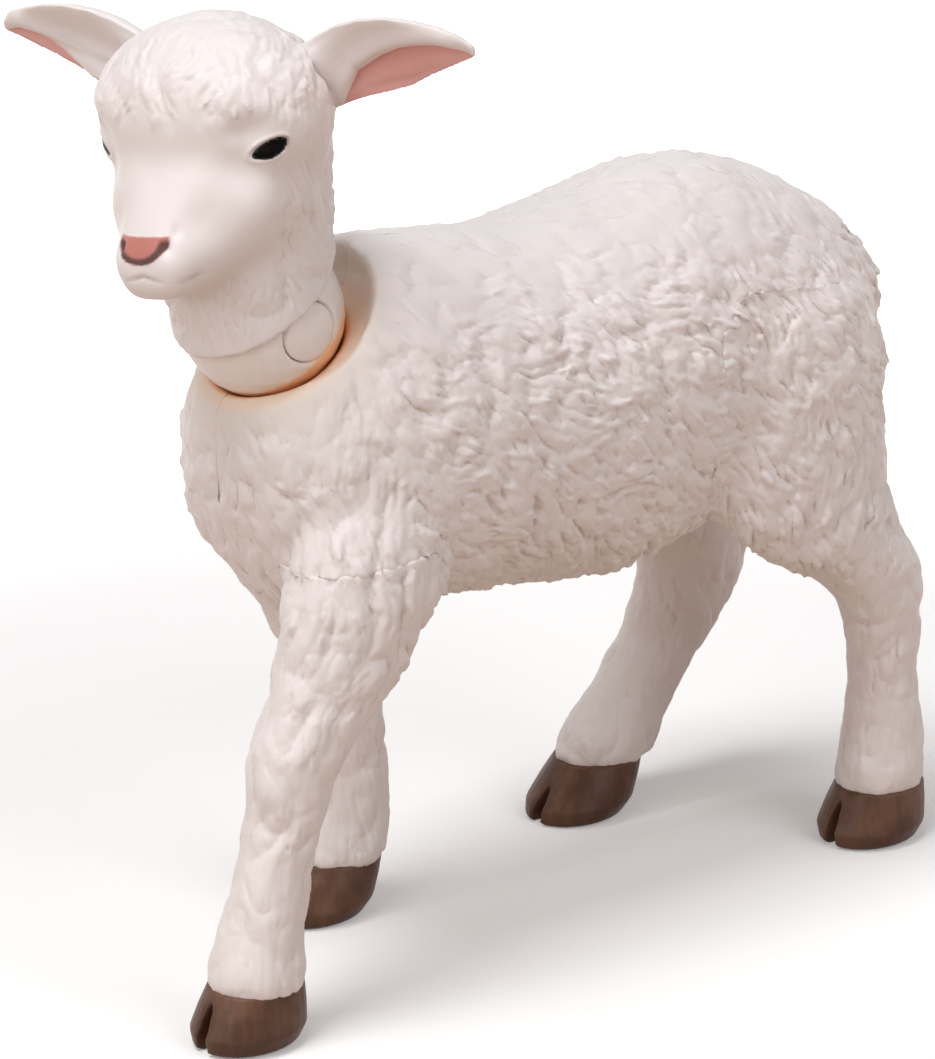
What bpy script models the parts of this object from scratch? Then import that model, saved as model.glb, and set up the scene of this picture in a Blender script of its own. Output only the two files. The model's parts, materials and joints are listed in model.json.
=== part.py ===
"""Toy lamb with a jointed neck, modelled as the mouldings that it is assembled from.

The lamb faces -Y, its left side is +X and it stands on Z = 0. Lengths are in metres. Places are given
from the middle of the body's width, and an empty then sets the whole toy about the frame's origin.
The body is two halves that meet on the midline. Four legs plug into their sides, and each has a hoof
on its end. A post, clamped between the halves, ends in an eye at the centre of the smooth neck ball.
The cross pin through both is the nodding axis, and the woolly head turns on the ball's stem. The ball
rocks in the bowl that the halves form at the base of the neck.
"""

import math

import bmesh
import bpy
from mathutils import Matrix, Vector

# The middle of the toy's outline from above, which is set on the frame's origin
MIDDLE_X = -0.00260
MIDDLE_Y = 0.00360

# Body
BODY_LENGTH = 0.0548
BODY_WIDTH = 0.0212
BODY_HEIGHT = 0.0500
CHEST_Y = -0.0209

# Body halves: the gap on the midline and the pins that line the halves up
SEAM_GAP = 0.0003
PIN_RADIUS = 0.0009
PIN_LENGTH = 0.0022
PIN_CLEARANCE = 0.0003

# Neck bowl: a dish round the rim and a spherical seat under the ball
RIM_BEHIND_BALL = 0.0009
RIM_ABOVE_BALL = 0.0002
RIM_RADIUS = 0.0070
RIM_TILT = math.radians(40)
BOWL_CLEARANCE = 0.00035

# Neck ball, its stem and the slot that the post works in
BALL_BEHIND_CHEST = 0.0039
BALL_BELOW_BACK = 0.0040
BALL_RADIUS = 0.0052
NECK_TILT = math.radians(30)
STEM_RADIUS = 0.0016
STEM_LENGTH = 0.0019
BEAD_RADIUS = 0.0020
BEAD_HEIGHT = 0.0007
SLOT_CLEARANCE = 0.0003
NOD_BACK = math.radians(8)
NOD_DOWN = math.radians(12)

# Post and cross pin
POST_RADIUS = 0.0012
POST_LENGTH = 0.0092
EYE_RADIUS = 0.0019
EYE_WIDTH = 0.0026
FLANGE_RADIUS = 0.0027
FLANGE_THICKNESS = 0.0014
CROSS_PIN_RADIUS = 0.0009
CROSS_PIN_HEAD_RADIUS = 0.0018
CROSS_PIN_HEAD_DEPTH = 0.0011
FIT_CLEARANCE = 0.0003

# Head, placed from the ball's centre before it is turned about the neck
HEAD_TURN = math.radians(17)
SKULL_WIDTH = 0.0166
SKULL_LENGTH = 0.0126
SKULL_HEIGHT = 0.0126
SKULL_FORWARD = 0.0021
SKULL_RISE = 0.0136
NECK_RADIUS = 0.0056
SKIRT_HEIGHT = 0.0015
FACE_LENGTH = 0.0112
FACE_ROUNDNESS = 0.8

# Ears
EAR_LENGTH = 0.0127
EAR_WIDTH = 0.0054
EAR_THICKNESS = 0.0009
EAR_ROOT_X = 0.0060
EAR_ROOT_Y = 0.0001
EAR_ROOT_Z = 0.0162
EAR_LEFT_RISE = 0.0008
EAR_RIGHT_RISE = 0.0021
EAR_SWEEP = 0.0002
EAR_DROOP = math.radians(22)
EAR_ROLL = 0.26
EAR_PEG_RADIUS = 0.0010
EAR_PEG_LENGTH = 0.0020
EAR_PEG_DROP = 0.0011
EAR_PEG_HOLD = 0.0005

# Legs: how far from the midline they are let into the halves, and how they plug in
LEG_INSET = BODY_WIDTH * 0.17
LEG_GAP = 0.0003
LEG_PEG_RADIUS = 0.0014
LEG_PEG_LENGTH = 0.0017

# Hooves
HOOF_HEIGHT = 0.0040
HOOF_WIDTH = 0.0069
HOOF_LENGTH = 0.0080
HOOF_GAP = 0.0003
HOOF_PEG_RADIUS = 0.0012
HOOF_PEG_LENGTH = 0.0018
CLEFT_WIDTH = 0.0010
CLEFT_DEPTH = 0.0026

# Looks: colour and roughness
FLEECE_LOOK = ((0.86, 0.80, 0.77), 0.45)
HOOF_LOOK = ((0.16, 0.10, 0.08), 0.50)
JOINT_LOOK = ((0.84, 0.77, 0.71), 0.40)
SHARP_ANGLE = math.radians(40)

# Skin of the moulded forms
VOXEL = 0.00050
BODY_TRIANGLES = 4800
HEAD_TRIANGLES = 1900
BODY_SMOOTHING = 6
HEAD_SMOOTHING = 16
RING_POINTS = 28
OVERRUN = 0.0020

# Stations along the body: place from the chest as a share of the length, then the bottom, the top and
# the widest point as shares of the height, and the half width as a share of half the width.
BODY_SECTION_SHARES = (
    (0.000, 0.690, 0.800, 0.745, 0.28),
    (0.025, 0.598, 0.862, 0.735, 0.53),
    (0.075, 0.533, 0.922, 0.730, 0.73),
    (0.140, 0.503, 0.972, 0.725, 0.86),
    (0.215, 0.496, 0.994, 0.720, 0.94),
    (0.300, 0.490, 0.983, 0.715, 0.98),
    (0.420, 0.470, 0.963, 0.710, 1.00),
    (0.545, 0.449, 0.979, 0.710, 1.00),
    (0.640, 0.462, 1.002, 0.725, 0.97),
    (0.730, 0.500, 1.000, 0.745, 0.92),
    (0.835, 0.560, 0.962, 0.760, 0.82),
    (0.925, 0.625, 0.900, 0.765, 0.66),
    (0.980, 0.680, 0.840, 0.765, 0.44),
    (1.000, 0.725, 0.800, 0.765, 0.22),
)

# Limb sections from the top down: place across, along and up, then half width and half depth. The place
# along is a share of the body's length from the chest. The place across and the half width are shares of
# its width, and the rest are shares of its height.
FORELEG_LEFT_SHARES = (
    (0.283, 0.153, 0.700, 0.142, 0.095),
    (0.302, 0.142, 0.640, 0.175, 0.122),
    (0.321, 0.121, 0.570, 0.175, 0.124),
    (0.330, 0.091, 0.500, 0.160, 0.104),
    (0.330, 0.060, 0.440, 0.149, 0.086),
    (0.328, 0.030, 0.400, 0.144, 0.076),
    (0.325, 0.013, 0.360, 0.137, 0.064),
    (0.321, 0.002, 0.300, 0.123, 0.053),
    (0.316, -0.015, 0.240, 0.116, 0.049),
    (0.314, -0.027, 0.180, 0.123, 0.056),
    (0.311, -0.038, 0.130, 0.134, 0.061),
    (0.311, -0.046, 0.070, 0.137, 0.060),
)
FORELEG_RIGHT_SHARES = (
    (-0.283, 0.162, 0.700, 0.142, 0.095),
    (-0.302, 0.159, 0.640, 0.175, 0.122),
    (-0.316, 0.184, 0.570, 0.165, 0.112),
    (-0.321, 0.221, 0.500, 0.151, 0.090),
    (-0.321, 0.248, 0.440, 0.144, 0.078),
    (-0.321, 0.266, 0.390, 0.142, 0.070),
    (-0.321, 0.278, 0.340, 0.132, 0.060),
    (-0.318, 0.285, 0.290, 0.123, 0.053),
    (-0.316, 0.290, 0.230, 0.116, 0.055),
    (-0.316, 0.290, 0.170, 0.123, 0.062),
    (-0.316, 0.284, 0.125, 0.134, 0.066),
    (-0.316, 0.270, 0.070, 0.137, 0.063),
)
HINDLEG_LEFT_SHARES = (
    (0.259, 0.774, 0.870, 0.123, 0.100),
    (0.311, 0.783, 0.800, 0.170, 0.146),
    (0.335, 0.788, 0.720, 0.184, 0.160),
    (0.349, 0.791, 0.620, 0.175, 0.154),
    (0.363, 0.799, 0.530, 0.158, 0.148),
    (0.373, 0.845, 0.460, 0.144, 0.125),
    (0.375, 0.904, 0.410, 0.137, 0.091),
    (0.373, 0.933, 0.365, 0.130, 0.071),
    (0.370, 0.941, 0.310, 0.118, 0.056),
    (0.366, 0.945, 0.240, 0.113, 0.050),
    (0.363, 0.948, 0.180, 0.123, 0.056),
    (0.363, 0.949, 0.130, 0.134, 0.062),
    (0.361, 0.943, 0.070, 0.137, 0.062),
)
HINDLEG_RIGHT_SHARES = (
    (-0.259, 0.774, 0.870, 0.123, 0.100),
    (-0.311, 0.783, 0.800, 0.170, 0.146),
    (-0.335, 0.794, 0.720, 0.184, 0.160),
    (-0.349, 0.814, 0.620, 0.175, 0.146),
    (-0.363, 0.843, 0.530, 0.156, 0.112),
    (-0.377, 0.870, 0.450, 0.144, 0.100),
    (-0.392, 0.887, 0.375, 0.137, 0.096),
    (-0.401, 0.886, 0.310, 0.130, 0.090),
    (-0.410, 0.853, 0.235, 0.120, 0.079),
    (-0.410, 0.803, 0.175, 0.123, 0.076),
    (-0.410, 0.764, 0.130, 0.134, 0.082),
    (-0.410, 0.730, 0.070, 0.137, 0.074),
)

# Tail: centre along as a share of the length from the chest, then its height, half width and half depth
# as shares of the body's height.
TAIL_SHARES = (
    (0.892, 0.880, 0.030, 0.030),
    (0.947, 0.830, 0.042, 0.036),
    (0.979, 0.765, 0.046, 0.038),
    (0.995, 0.690, 0.044, 0.036),
    (0.995, 0.615, 0.038, 0.030),
    (0.991, 0.560, 0.024, 0.020),
)

# Side outlines of the blocks that part the legs from the halves: along from the chest and up, as shares
# of the body's length and height.
FORELEG_LEFT_BLOCK_SHARES = (
    (-0.221, -0.04), (-0.221, 0.30), (-0.057, 0.47), (0.030, 0.61),
    (0.181, 0.62), (0.272, 0.52), (0.290, 0.44), (0.108, 0.20), (0.108, -0.04),
)
FORELEG_RIGHT_BLOCK_SHARES = (
    (0.089, -0.04), (0.089, 0.30), (-0.002, 0.45), (0.030, 0.61),
    (0.181, 0.62), (0.272, 0.52), (0.327, 0.40), (0.436, 0.20), (0.436, -0.04),
)
HINDLEG_LEFT_BLOCK_SHARES = (
    (0.746, -0.04), (0.746, 0.30), (0.632, 0.44), (0.632, 0.80), (0.682, 0.845),
    (0.856, 0.82), (0.984, 0.70), (1.111, 0.50), (1.111, -0.04),
)
HINDLEG_RIGHT_BLOCK_SHARES = (
    (0.527, -0.04), (0.527, 0.20), (0.632, 0.44), (0.632, 0.80), (0.682, 0.845),
    (0.856, 0.82), (0.984, 0.70), (1.111, 0.50), (1.111, -0.04),
)

# Where each leg's peg enters its half of the body: along and up, in the same shares.
FORELEG_PEG_SHARES = (0.149, 0.565)
HINDLEG_PEG_SHARES = (0.783, 0.700)

# Hoof sections from the sole up: height, half width, half length and forward shift, as shares of the
# hoof's height, half width, half length and length.
HOOF_SECTION_SHARES = (
    (0.00, 0.76, 0.80, 0.00),
    (0.07, 0.90, 0.92, 0.00),
    (0.30, 1.00, 1.00, 0.00),
    (0.65, 0.94, 0.92, 0.01),
    (1.00, 0.84, 0.82, 0.02),
)

# Hooves on the ground: across, and along from the chest, as shares of the body's width and length.
HOOF_PLACE_SHARES = {
    "foreleg_left": (0.307, -0.058),
    "foreleg_right": (-0.316, 0.232),
    "hindleg_left": (0.356, 0.929),
    "hindleg_right": (-0.410, 0.690),
}

# Pins that line the halves up: along from the chest and up, as shares of the body's length and height.
PIN_PLACE_SHARES = ((0.135, 0.660), (0.710, 0.930), (0.838, 0.625))

# Neck column from below the skirt up: height and forward shift as shares of the skull's rise, then half
# width and half depth as shares of the neck's radius.
NECK_SECTION_SHARES = (
    (-0.35, 0.02, 0.98, 0.99),
    (0.00, 0.03, 0.99, 1.01),
    (0.22, 0.06, 0.99, 1.02),
    (0.45, 0.06, 1.03, 1.05),
    (0.66, 0.07, 1.12, 1.10),
    (0.88, 0.09, 1.20, 1.16),
)

# Face from the brow to the nose: forward as a share of its length, height as a share of the skull's
# rise, half width and half height as shares of half the skull's width and height.
FACE_SECTION_SHARES = (
    (0.10, 0.78, 0.86, 1.10),
    (0.34, 0.76, 0.80, 1.02),
    (0.52, 0.70, 0.71, 0.90),
    (0.65, 0.61, 0.58, 0.75),
    (0.78, 0.51, 0.44, 0.58),
    (0.89, 0.43, 0.36, 0.45),
    (0.96, 0.39, 0.29, 0.33),
    (1.00, 0.39, 0.17, 0.18),
)

# Ear: place along as a share of its length, then drop, half width, the back's bulge and the hollow's
# depth as shares of half its width. A negative depth is a stalk that bulges where the hollow would be.
EAR_SECTION_SHARES = (
    (-0.08, 0.52, 0.91, 0.38, -0.34),
    (0.03, 0.37, 0.93, 0.46, -0.36),
    (0.12, 0.22, 0.96, 0.56, -0.16),
    (0.24, 0.06, 1.00, 0.64, 0.18),
    (0.38, -0.04, 1.00, 0.65, 0.36),
    (0.54, -0.10, 0.94, 0.58, 0.34),
    (0.70, -0.17, 0.73, 0.44, 0.22),
    (0.84, -0.16, 0.53, 0.32, 0.12),
    (0.94, -0.11, 0.34, 0.20, 0.03),
    (1.00, -0.03, 0.14, 0.10, -0.05),
)


def clear_scene():
    for obj in list(bpy.data.objects):
        bpy.data.objects.remove(obj, do_unlink=True)


def collection(name):
    made = bpy.data.collections.new(name)
    bpy.context.scene.collection.children.link(made)
    return made


def material(name, colour, roughness):
    made = bpy.data.materials.new(name)
    made.use_nodes = True
    shader = made.node_tree.nodes["Principled BSDF"]
    shader.inputs["Base Color"].default_value = (*colour, 1)
    shader.inputs["Roughness"].default_value = roughness
    shader.inputs["Metallic"].default_value = 0
    return made


def mesh_object(name, bm):
    bmesh.ops.recalc_face_normals(bm, faces=bm.faces)
    mesh = bpy.data.meshes.new(name)
    bm.to_mesh(mesh)
    bm.free()
    obj = bpy.data.objects.new(name, mesh)
    bpy.context.scene.collection.objects.link(obj)
    return obj


def loft(name, rings):
    """A closed skin through the rings, with a flat face on each end."""
    bm = bmesh.new()
    rows = [[bm.verts.new(point) for point in ring] for ring in rings]
    for low, high in zip(rows, rows[1:]):
        for i, corner in enumerate(low):
            after = (i + 1) % len(low)
            bm.faces.new((corner, low[after], high[after], high[i]))
    bm.faces.new(rows[0][::-1])
    bm.faces.new(rows[-1])
    return mesh_object(name, bm)


def level_ring(x, y, z, half_x, half_y):
    """An ellipse on a level plane."""
    steps = [math.tau * i / RING_POINTS for i in range(RING_POINTS)]
    return [Vector((x + half_x * math.cos(a), y + half_y * math.sin(a), z)) for a in steps]


def upright_ring(y, low, high, wide, half_width, roundness=1):
    """A section across the body, with its own bottom, top and widest height."""
    ring = []
    for i in range(RING_POINTS):
        angle = math.tau * i / RING_POINTS
        up = math.copysign(abs(math.sin(angle)) ** roundness, math.sin(angle))
        across = math.copysign(abs(math.cos(angle)) ** roundness, math.cos(angle))
        height = wide + up * ((high - wide) if up > 0 else (wide - low))
        ring.append(Vector((half_width * across, y, height)))
    return ring


def cylinder(name, radius, length, place, direction, segments=24):
    """A rod of the length, centred on the place, along the direction."""
    bm = bmesh.new()
    bmesh.ops.create_cone(
        bm, cap_ends=True, segments=segments, radius1=radius, radius2=radius, depth=length
    )
    turn = Vector((0, 0, 1)).rotation_difference(direction).to_matrix().to_4x4()
    bmesh.ops.transform(bm, matrix=Matrix.Translation(place) @ turn, verts=bm.verts)
    return mesh_object(name, bm)


def sphere(name, radius, place, scale=(1, 1, 1), segments=32):
    bm = bmesh.new()
    bmesh.ops.create_uvsphere(bm, u_segments=segments, v_segments=segments // 2, radius=radius)
    bmesh.ops.transform(
        bm, matrix=Matrix.Translation(place) @ Matrix.Diagonal((*scale, 1)), verts=bm.verts
    )
    return mesh_object(name, bm)


def box(name, low, high):
    bm = bmesh.new()
    bmesh.ops.create_cube(bm, size=1)
    size = [b - a for a, b in zip(low, high)]
    middle = [(a + b) / 2 for a, b in zip(low, high)]
    bmesh.ops.transform(
        bm, matrix=Matrix.Translation(middle) @ Matrix.Diagonal((*size, 1)), verts=bm.verts
    )
    return mesh_object(name, bm)


def turned(name, profile, place, axis, steps=40):
    """A profile of (radius, height) pairs, top to bottom, turned about the axis."""
    mesh = bpy.data.meshes.new(name)
    points = [(radius, 0, height) for radius, height in profile]
    mesh.from_pydata(points, [(i, i + 1) for i in range(len(points) - 1)], [])
    obj = bpy.data.objects.new(name, mesh)
    bpy.context.scene.collection.objects.link(obj)
    screw = obj.modifiers.new("Turn", "SCREW")
    screw.steps = screw.render_steps = steps
    screw.use_merge_vertices = True
    screw.merge_threshold = 0.00001
    settle(obj)
    turn = Vector((0, 0, 1)).rotation_difference(axis).to_matrix().to_4x4()
    obj.data.transform(Matrix.Translation(place) @ turn)
    return obj


def settle(obj):
    """Turns the object's modifiers into plain mesh."""
    bpy.context.view_layer.update()
    graph = bpy.context.evaluated_depsgraph_get()
    mesh = bpy.data.meshes.new_from_object(obj.evaluated_get(graph))
    obj.modifiers.clear()
    obj.data = mesh
    return obj


def boolean(obj, other, operation):
    modifier = obj.modifiers.new(operation.title(), "BOOLEAN")
    modifier.operation = operation
    modifier.object = other
    modifier.solver = "EXACT"
    settle(obj)


def cut(obj, *others):
    for other in others:
        boolean(obj, other, "DIFFERENCE")


def join(obj, *others):
    for other in others:
        boolean(obj, other, "UNION")


def copy_of(obj, name):
    made = obj.copy()
    made.data = obj.data.copy()
    made.name = name
    bpy.context.scene.collection.objects.link(made)
    return made


def fuse(name, pieces, triangles, smoothing):
    """One skin over pieces that overlap, evened out and brought to about the number of triangles."""
    bm = bmesh.new()
    for piece in pieces:
        bm.from_mesh(piece.data)
        bpy.data.objects.remove(piece, do_unlink=True)
    mesh = bpy.data.meshes.new(name)
    bm.to_mesh(mesh)
    bm.free()
    obj = bpy.data.objects.new(name, mesh)
    bpy.context.scene.collection.objects.link(obj)
    remesh = obj.modifiers.new("Skin", "REMESH")
    remesh.mode = "VOXEL"
    remesh.voxel_size = VOXEL
    smooth = obj.modifiers.new("Even", "SMOOTH")
    smooth.factor = 0.5
    smooth.iterations = smoothing
    settle(obj)
    found = sum(len(face.vertices) - 2 for face in obj.data.polygons)
    thin = obj.modifiers.new("Thin", "DECIMATE")
    thin.ratio = min(1, triangles / found)
    thin.use_collapse_triangulate = True
    return settle(obj)


def side_block(name, outline, inner, outer):
    """A block with its outline in the side view, from one distance off the midline to another."""
    near = [Vector((inner, y, z)) for y, z in outline]
    far = [Vector((outer, y, z)) for y, z in outline]
    return loft(name, (near, far))


def along_body(share):
    return CHEST_Y + share * BODY_LENGTH


def side_outline(shares):
    return [(along_body(along), up * BODY_HEIGHT) for along, up in shares]


def limb(name, shares):
    rows = []
    for across, along, up, half_x, half_y in shares:
        place = (across * BODY_WIDTH, along_body(along), up * BODY_HEIGHT)
        rows.append(level_ring(*place, half_x * BODY_WIDTH, half_y * BODY_HEIGHT))
    return loft(name, rows)


def trunk():
    rings = []
    for along, low, high, wide, half in BODY_SECTION_SHARES:
        rings.append(
            upright_ring(
                along_body(along),
                low * BODY_HEIGHT,
                high * BODY_HEIGHT,
                wide * BODY_HEIGHT,
                half * BODY_WIDTH / 2,
            )
        )
    return loft("trunk", rings)


def tail():
    rows = []
    for along, up, half_x, half_y in TAIL_SHARES:
        place = (0, along_body(along), up * BODY_HEIGHT)
        rows.append(level_ring(*place, half_x * BODY_HEIGHT, half_y * BODY_HEIGHT))
    return loft("tail_form", rows)


BALL_CENTRE = Vector((0, CHEST_Y + BALL_BEHIND_CHEST, BODY_HEIGHT - BALL_BELOW_BACK))
NECK_AXIS = Vector((0, -math.sin(NECK_TILT), math.cos(NECK_TILT)))
ACROSS = Vector((1, 0, 0))
LIMBS = {
    "foreleg_left": (FORELEG_LEFT_SHARES, FORELEG_LEFT_BLOCK_SHARES, FORELEG_PEG_SHARES, 1),
    "foreleg_right": (FORELEG_RIGHT_SHARES, FORELEG_RIGHT_BLOCK_SHARES, FORELEG_PEG_SHARES, -1),
    "hindleg_left": (HINDLEG_LEFT_SHARES, HINDLEG_LEFT_BLOCK_SHARES, HINDLEG_PEG_SHARES, 1),
    "hindleg_right": (HINDLEG_RIGHT_SHARES, HINDLEG_RIGHT_BLOCK_SHARES, HINDLEG_PEG_SHARES, -1),
}


def bowl_cutters():
    rim = BALL_CENTRE + Vector((0, RIM_BEHIND_BALL, RIM_ABOVE_BALL))
    axis = Vector((0, -math.sin(RIM_TILT), math.cos(RIM_TILT)))
    profile = (
        (0, BODY_HEIGHT / 4),
        (RIM_RADIUS * 1.35, BODY_HEIGHT / 4),
        (RIM_RADIUS, 0),
        (RIM_RADIUS * 0.93, -RIM_RADIUS * 0.22),
        (RIM_RADIUS * 0.80, -RIM_RADIUS * 0.40),
        (RIM_RADIUS * 0.55, -RIM_RADIUS * 0.52),
        (0, -RIM_RADIUS * 0.58),
    )
    dish = turned("dish_cutter", profile, rim, axis)
    seat = sphere("seat_cutter", BALL_RADIUS + BOWL_CLEARANCE, BALL_CENTRE, segments=28)
    return dish, seat


def post_cutters():
    """The bore for the post and the pocket for its flange."""
    reach = POST_LENGTH - FLANGE_THICKNESS
    bore = cylinder(
        "post_bore", POST_RADIUS + FIT_CLEARANCE, reach, BALL_CENTRE - NECK_AXIS * reach / 2, NECK_AXIS
    )
    pocket = cylinder(
        "flange_pocket",
        FLANGE_RADIUS + FIT_CLEARANCE,
        FLANGE_THICKNESS + 2 * FIT_CLEARANCE,
        BALL_CENTRE - NECK_AXIS * (POST_LENGTH - FLANGE_THICKNESS / 2),
        NECK_AXIS,
    )
    return bore, pocket


def build_halves(form):
    """The two halves of the body, with the bowl, the post's seat, leg sockets and locating pins."""
    cutters = [*bowl_cutters(), *post_cutters()]
    far = BODY_LENGTH
    halves = {}
    for side, sign in (("left", 1), ("right", -1)):
        half_body = copy_of(form, "body_" + side)
        edges = sorted((sign * SEAM_GAP / 2, sign * far))
        keep = box("half_" + side, (edges[0], -far, -far), (edges[1], far, 2 * far))
        boolean(half_body, keep, "INTERSECT")
        for name, (_, outline, peg, leg_sign) in LIMBS.items():
            if leg_sign != sign:
                continue
            inner = sign * (LEG_INSET - LEG_GAP)
            wider = side_block(
                name + "_block", grown(side_outline(outline), LEG_GAP), inner, sign * far
            )
            cut(half_body, wider)
            y, z = along_body(peg[0]), peg[1] * BODY_HEIGHT
            depth = LEG_PEG_LENGTH + LEG_GAP
            socket = cylinder(
                name + "_socket",
                LEG_PEG_RADIUS + FIT_CLEARANCE,
                depth + OVERRUN,
                Vector((sign * (LEG_INSET - LEG_GAP - depth / 2 + OVERRUN / 2), y, z)),
                ACROSS,
            )
            cut(half_body, socket)
            for used in (wider, socket):
                bpy.data.objects.remove(used, do_unlink=True)
        cut(half_body, *cutters)
        for along, up in PIN_PLACE_SHARES:
            place = Vector((0, along_body(along), up * BODY_HEIGHT))
            if side == "left":
                rod = cylinder("rod", PIN_RADIUS, 2 * PIN_LENGTH, place, ACROSS, segments=16)
                join(half_body, rod)
            else:
                rod = cylinder(
                    "rod",
                    PIN_RADIUS + PIN_CLEARANCE,
                    2 * (PIN_LENGTH + PIN_CLEARANCE),
                    place,
                    ACROSS,
                    segments=16,
                )
                cut(half_body, rod)
            bpy.data.objects.remove(rod, do_unlink=True)
        bpy.data.objects.remove(keep, do_unlink=True)
        halves[side] = half_body
    for cutter in cutters:
        bpy.data.objects.remove(cutter, do_unlink=True)
    return list(halves.values())


def grown(outline, distance):
    """The outline moved outwards by the distance."""
    ends = list(zip(outline, outline[1:] + outline[:1]))
    turning = sum(a[0] * b[1] - b[0] * a[1] for a, b in ends)
    outward = math.copysign(distance, turning)
    moved = []
    for i, point in enumerate(outline):
        here = Vector(point)
        before = (here - Vector(outline[i - 1])).normalized()
        after = (Vector(outline[(i + 1) % len(outline)]) - here).normalized()
        mitre = (Vector((before.y, -before.x)) + Vector((after.y, -after.x))).normalized()
        reach = mitre.dot(Vector((before.y, -before.x)))
        place = here + mitre * outward / reach
        moved.append((place.x, place.y))
    return moved


def build_leg(form, name):
    shares, outline, peg, sign = LIMBS[name]
    leg = copy_of(form, name)
    block = side_block(
        name + "_keep", side_outline(outline), sign * LEG_INSET, sign * BODY_LENGTH
    )
    boolean(leg, block, "INTERSECT")
    y, z = along_body(peg[0]), peg[1] * BODY_HEIGHT
    rod = cylinder(
        name + "_peg",
        LEG_PEG_RADIUS,
        LEG_PEG_LENGTH + OVERRUN,
        Vector((sign * (LEG_INSET - LEG_PEG_LENGTH / 2 + OVERRUN / 2), y, z)),
        ACROSS,
    )
    join(leg, rod)
    sole = HOOF_HEIGHT + HOOF_GAP
    floor = box("below", (-BODY_LENGTH, -BODY_LENGTH, -BODY_LENGTH), (BODY_LENGTH, BODY_LENGTH, sole))
    cut(leg, floor)
    ankle_x, ankle_y = shares[-1][0] * BODY_WIDTH, along_body(shares[-1][1])
    stub = cylinder(
        name + "_stub",
        HOOF_PEG_RADIUS,
        HOOF_PEG_LENGTH + OVERRUN,
        Vector((ankle_x, ankle_y, sole - HOOF_PEG_LENGTH / 2 + OVERRUN / 2)),
        Vector((0, 0, 1)),
        segments=16,
    )
    join(leg, stub)
    for used in (block, rod, floor, stub):
        bpy.data.objects.remove(used, do_unlink=True)
    return leg


def build_hoof(name):
    shares = LIMBS[name][0]
    across, along = HOOF_PLACE_SHARES[name]
    x, y = across * BODY_WIDTH, along_body(along)
    ankle_x, ankle_y = shares[-1][0] * BODY_WIDTH, along_body(shares[-1][1])
    rings = []
    for up, wide, long, shift in HOOF_SECTION_SHARES:
        lean = (ankle_y - y) * up
        rings.append(
            level_ring(
                x + (ankle_x - x) * up,
                y + lean + shift * HOOF_LENGTH,
                up * HOOF_HEIGHT,
                wide * HOOF_WIDTH / 2,
                long * HOOF_LENGTH / 2,
            )
        )
    hoof = loft("hoof_" + name, rings)
    toe = y - HOOF_LENGTH / 2
    cleft = sphere(
        "cleft",
        CLEFT_DEPTH,
        Vector((x, toe, 0)),
        scale=(CLEFT_WIDTH / CLEFT_DEPTH / 2, 1, HOOF_HEIGHT / CLEFT_DEPTH),
        segments=16,
    )
    socket = cylinder(
        "stub_socket",
        HOOF_PEG_RADIUS + FIT_CLEARANCE,
        HOOF_PEG_LENGTH + OVERRUN,
        Vector((ankle_x, ankle_y, HOOF_HEIGHT - HOOF_PEG_LENGTH / 2 + OVERRUN / 2)),
        Vector((0, 0, 1)),
        segments=16,
    )
    cut(hoof, cleft, socket)
    for used in (cleft, socket):
        bpy.data.objects.remove(used, do_unlink=True)
    return hoof


def build_post():
    """A flanged rod that ends in an eye at the ball's centre."""
    profile = (
        (0, 0),
        (POST_RADIUS, 0),
        (POST_RADIUS, FLANGE_THICKNESS - POST_LENGTH),
        (FLANGE_RADIUS, FLANGE_THICKNESS - POST_LENGTH),
        (FLANGE_RADIUS, -POST_LENGTH),
        (0, -POST_LENGTH),
    )
    post = turned("neck_post", profile, BALL_CENTRE, NECK_AXIS, steps=24)
    eye = cylinder("eye", EYE_RADIUS, EYE_WIDTH, BALL_CENTRE, ACROSS)
    bore = cylinder("eye_bore", CROSS_PIN_RADIUS + FIT_CLEARANCE, 2 * EYE_WIDTH, BALL_CENTRE, ACROSS)
    join(post, eye)
    cut(post, bore)
    for used in (eye, bore):
        bpy.data.objects.remove(used, do_unlink=True)
    return post


def swing_block(name, half_width, reach, half_depth, back, forward):
    """The room that a rod below the ball's centre sweeps between two swing angles."""
    steps = 8
    turns = [
        Matrix.Rotation(back + (forward - back) * i / steps, 3, "X") for i in range(steps + 1)
    ]
    side = NECK_AXIS.cross(ACROSS) * half_depth
    outline = [turns[0] @ -side]
    for i, turn in enumerate(turns):
        outline.append(turn @ (side * (2 * i / steps - 1) - NECK_AXIS * reach))
    outline.append(turns[-1] @ side)
    outline = [(BALL_CENTRE.y + point.y, BALL_CENTRE.z + point.z) for point in outline]
    return side_block(name, outline, -half_width, half_width)


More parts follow.
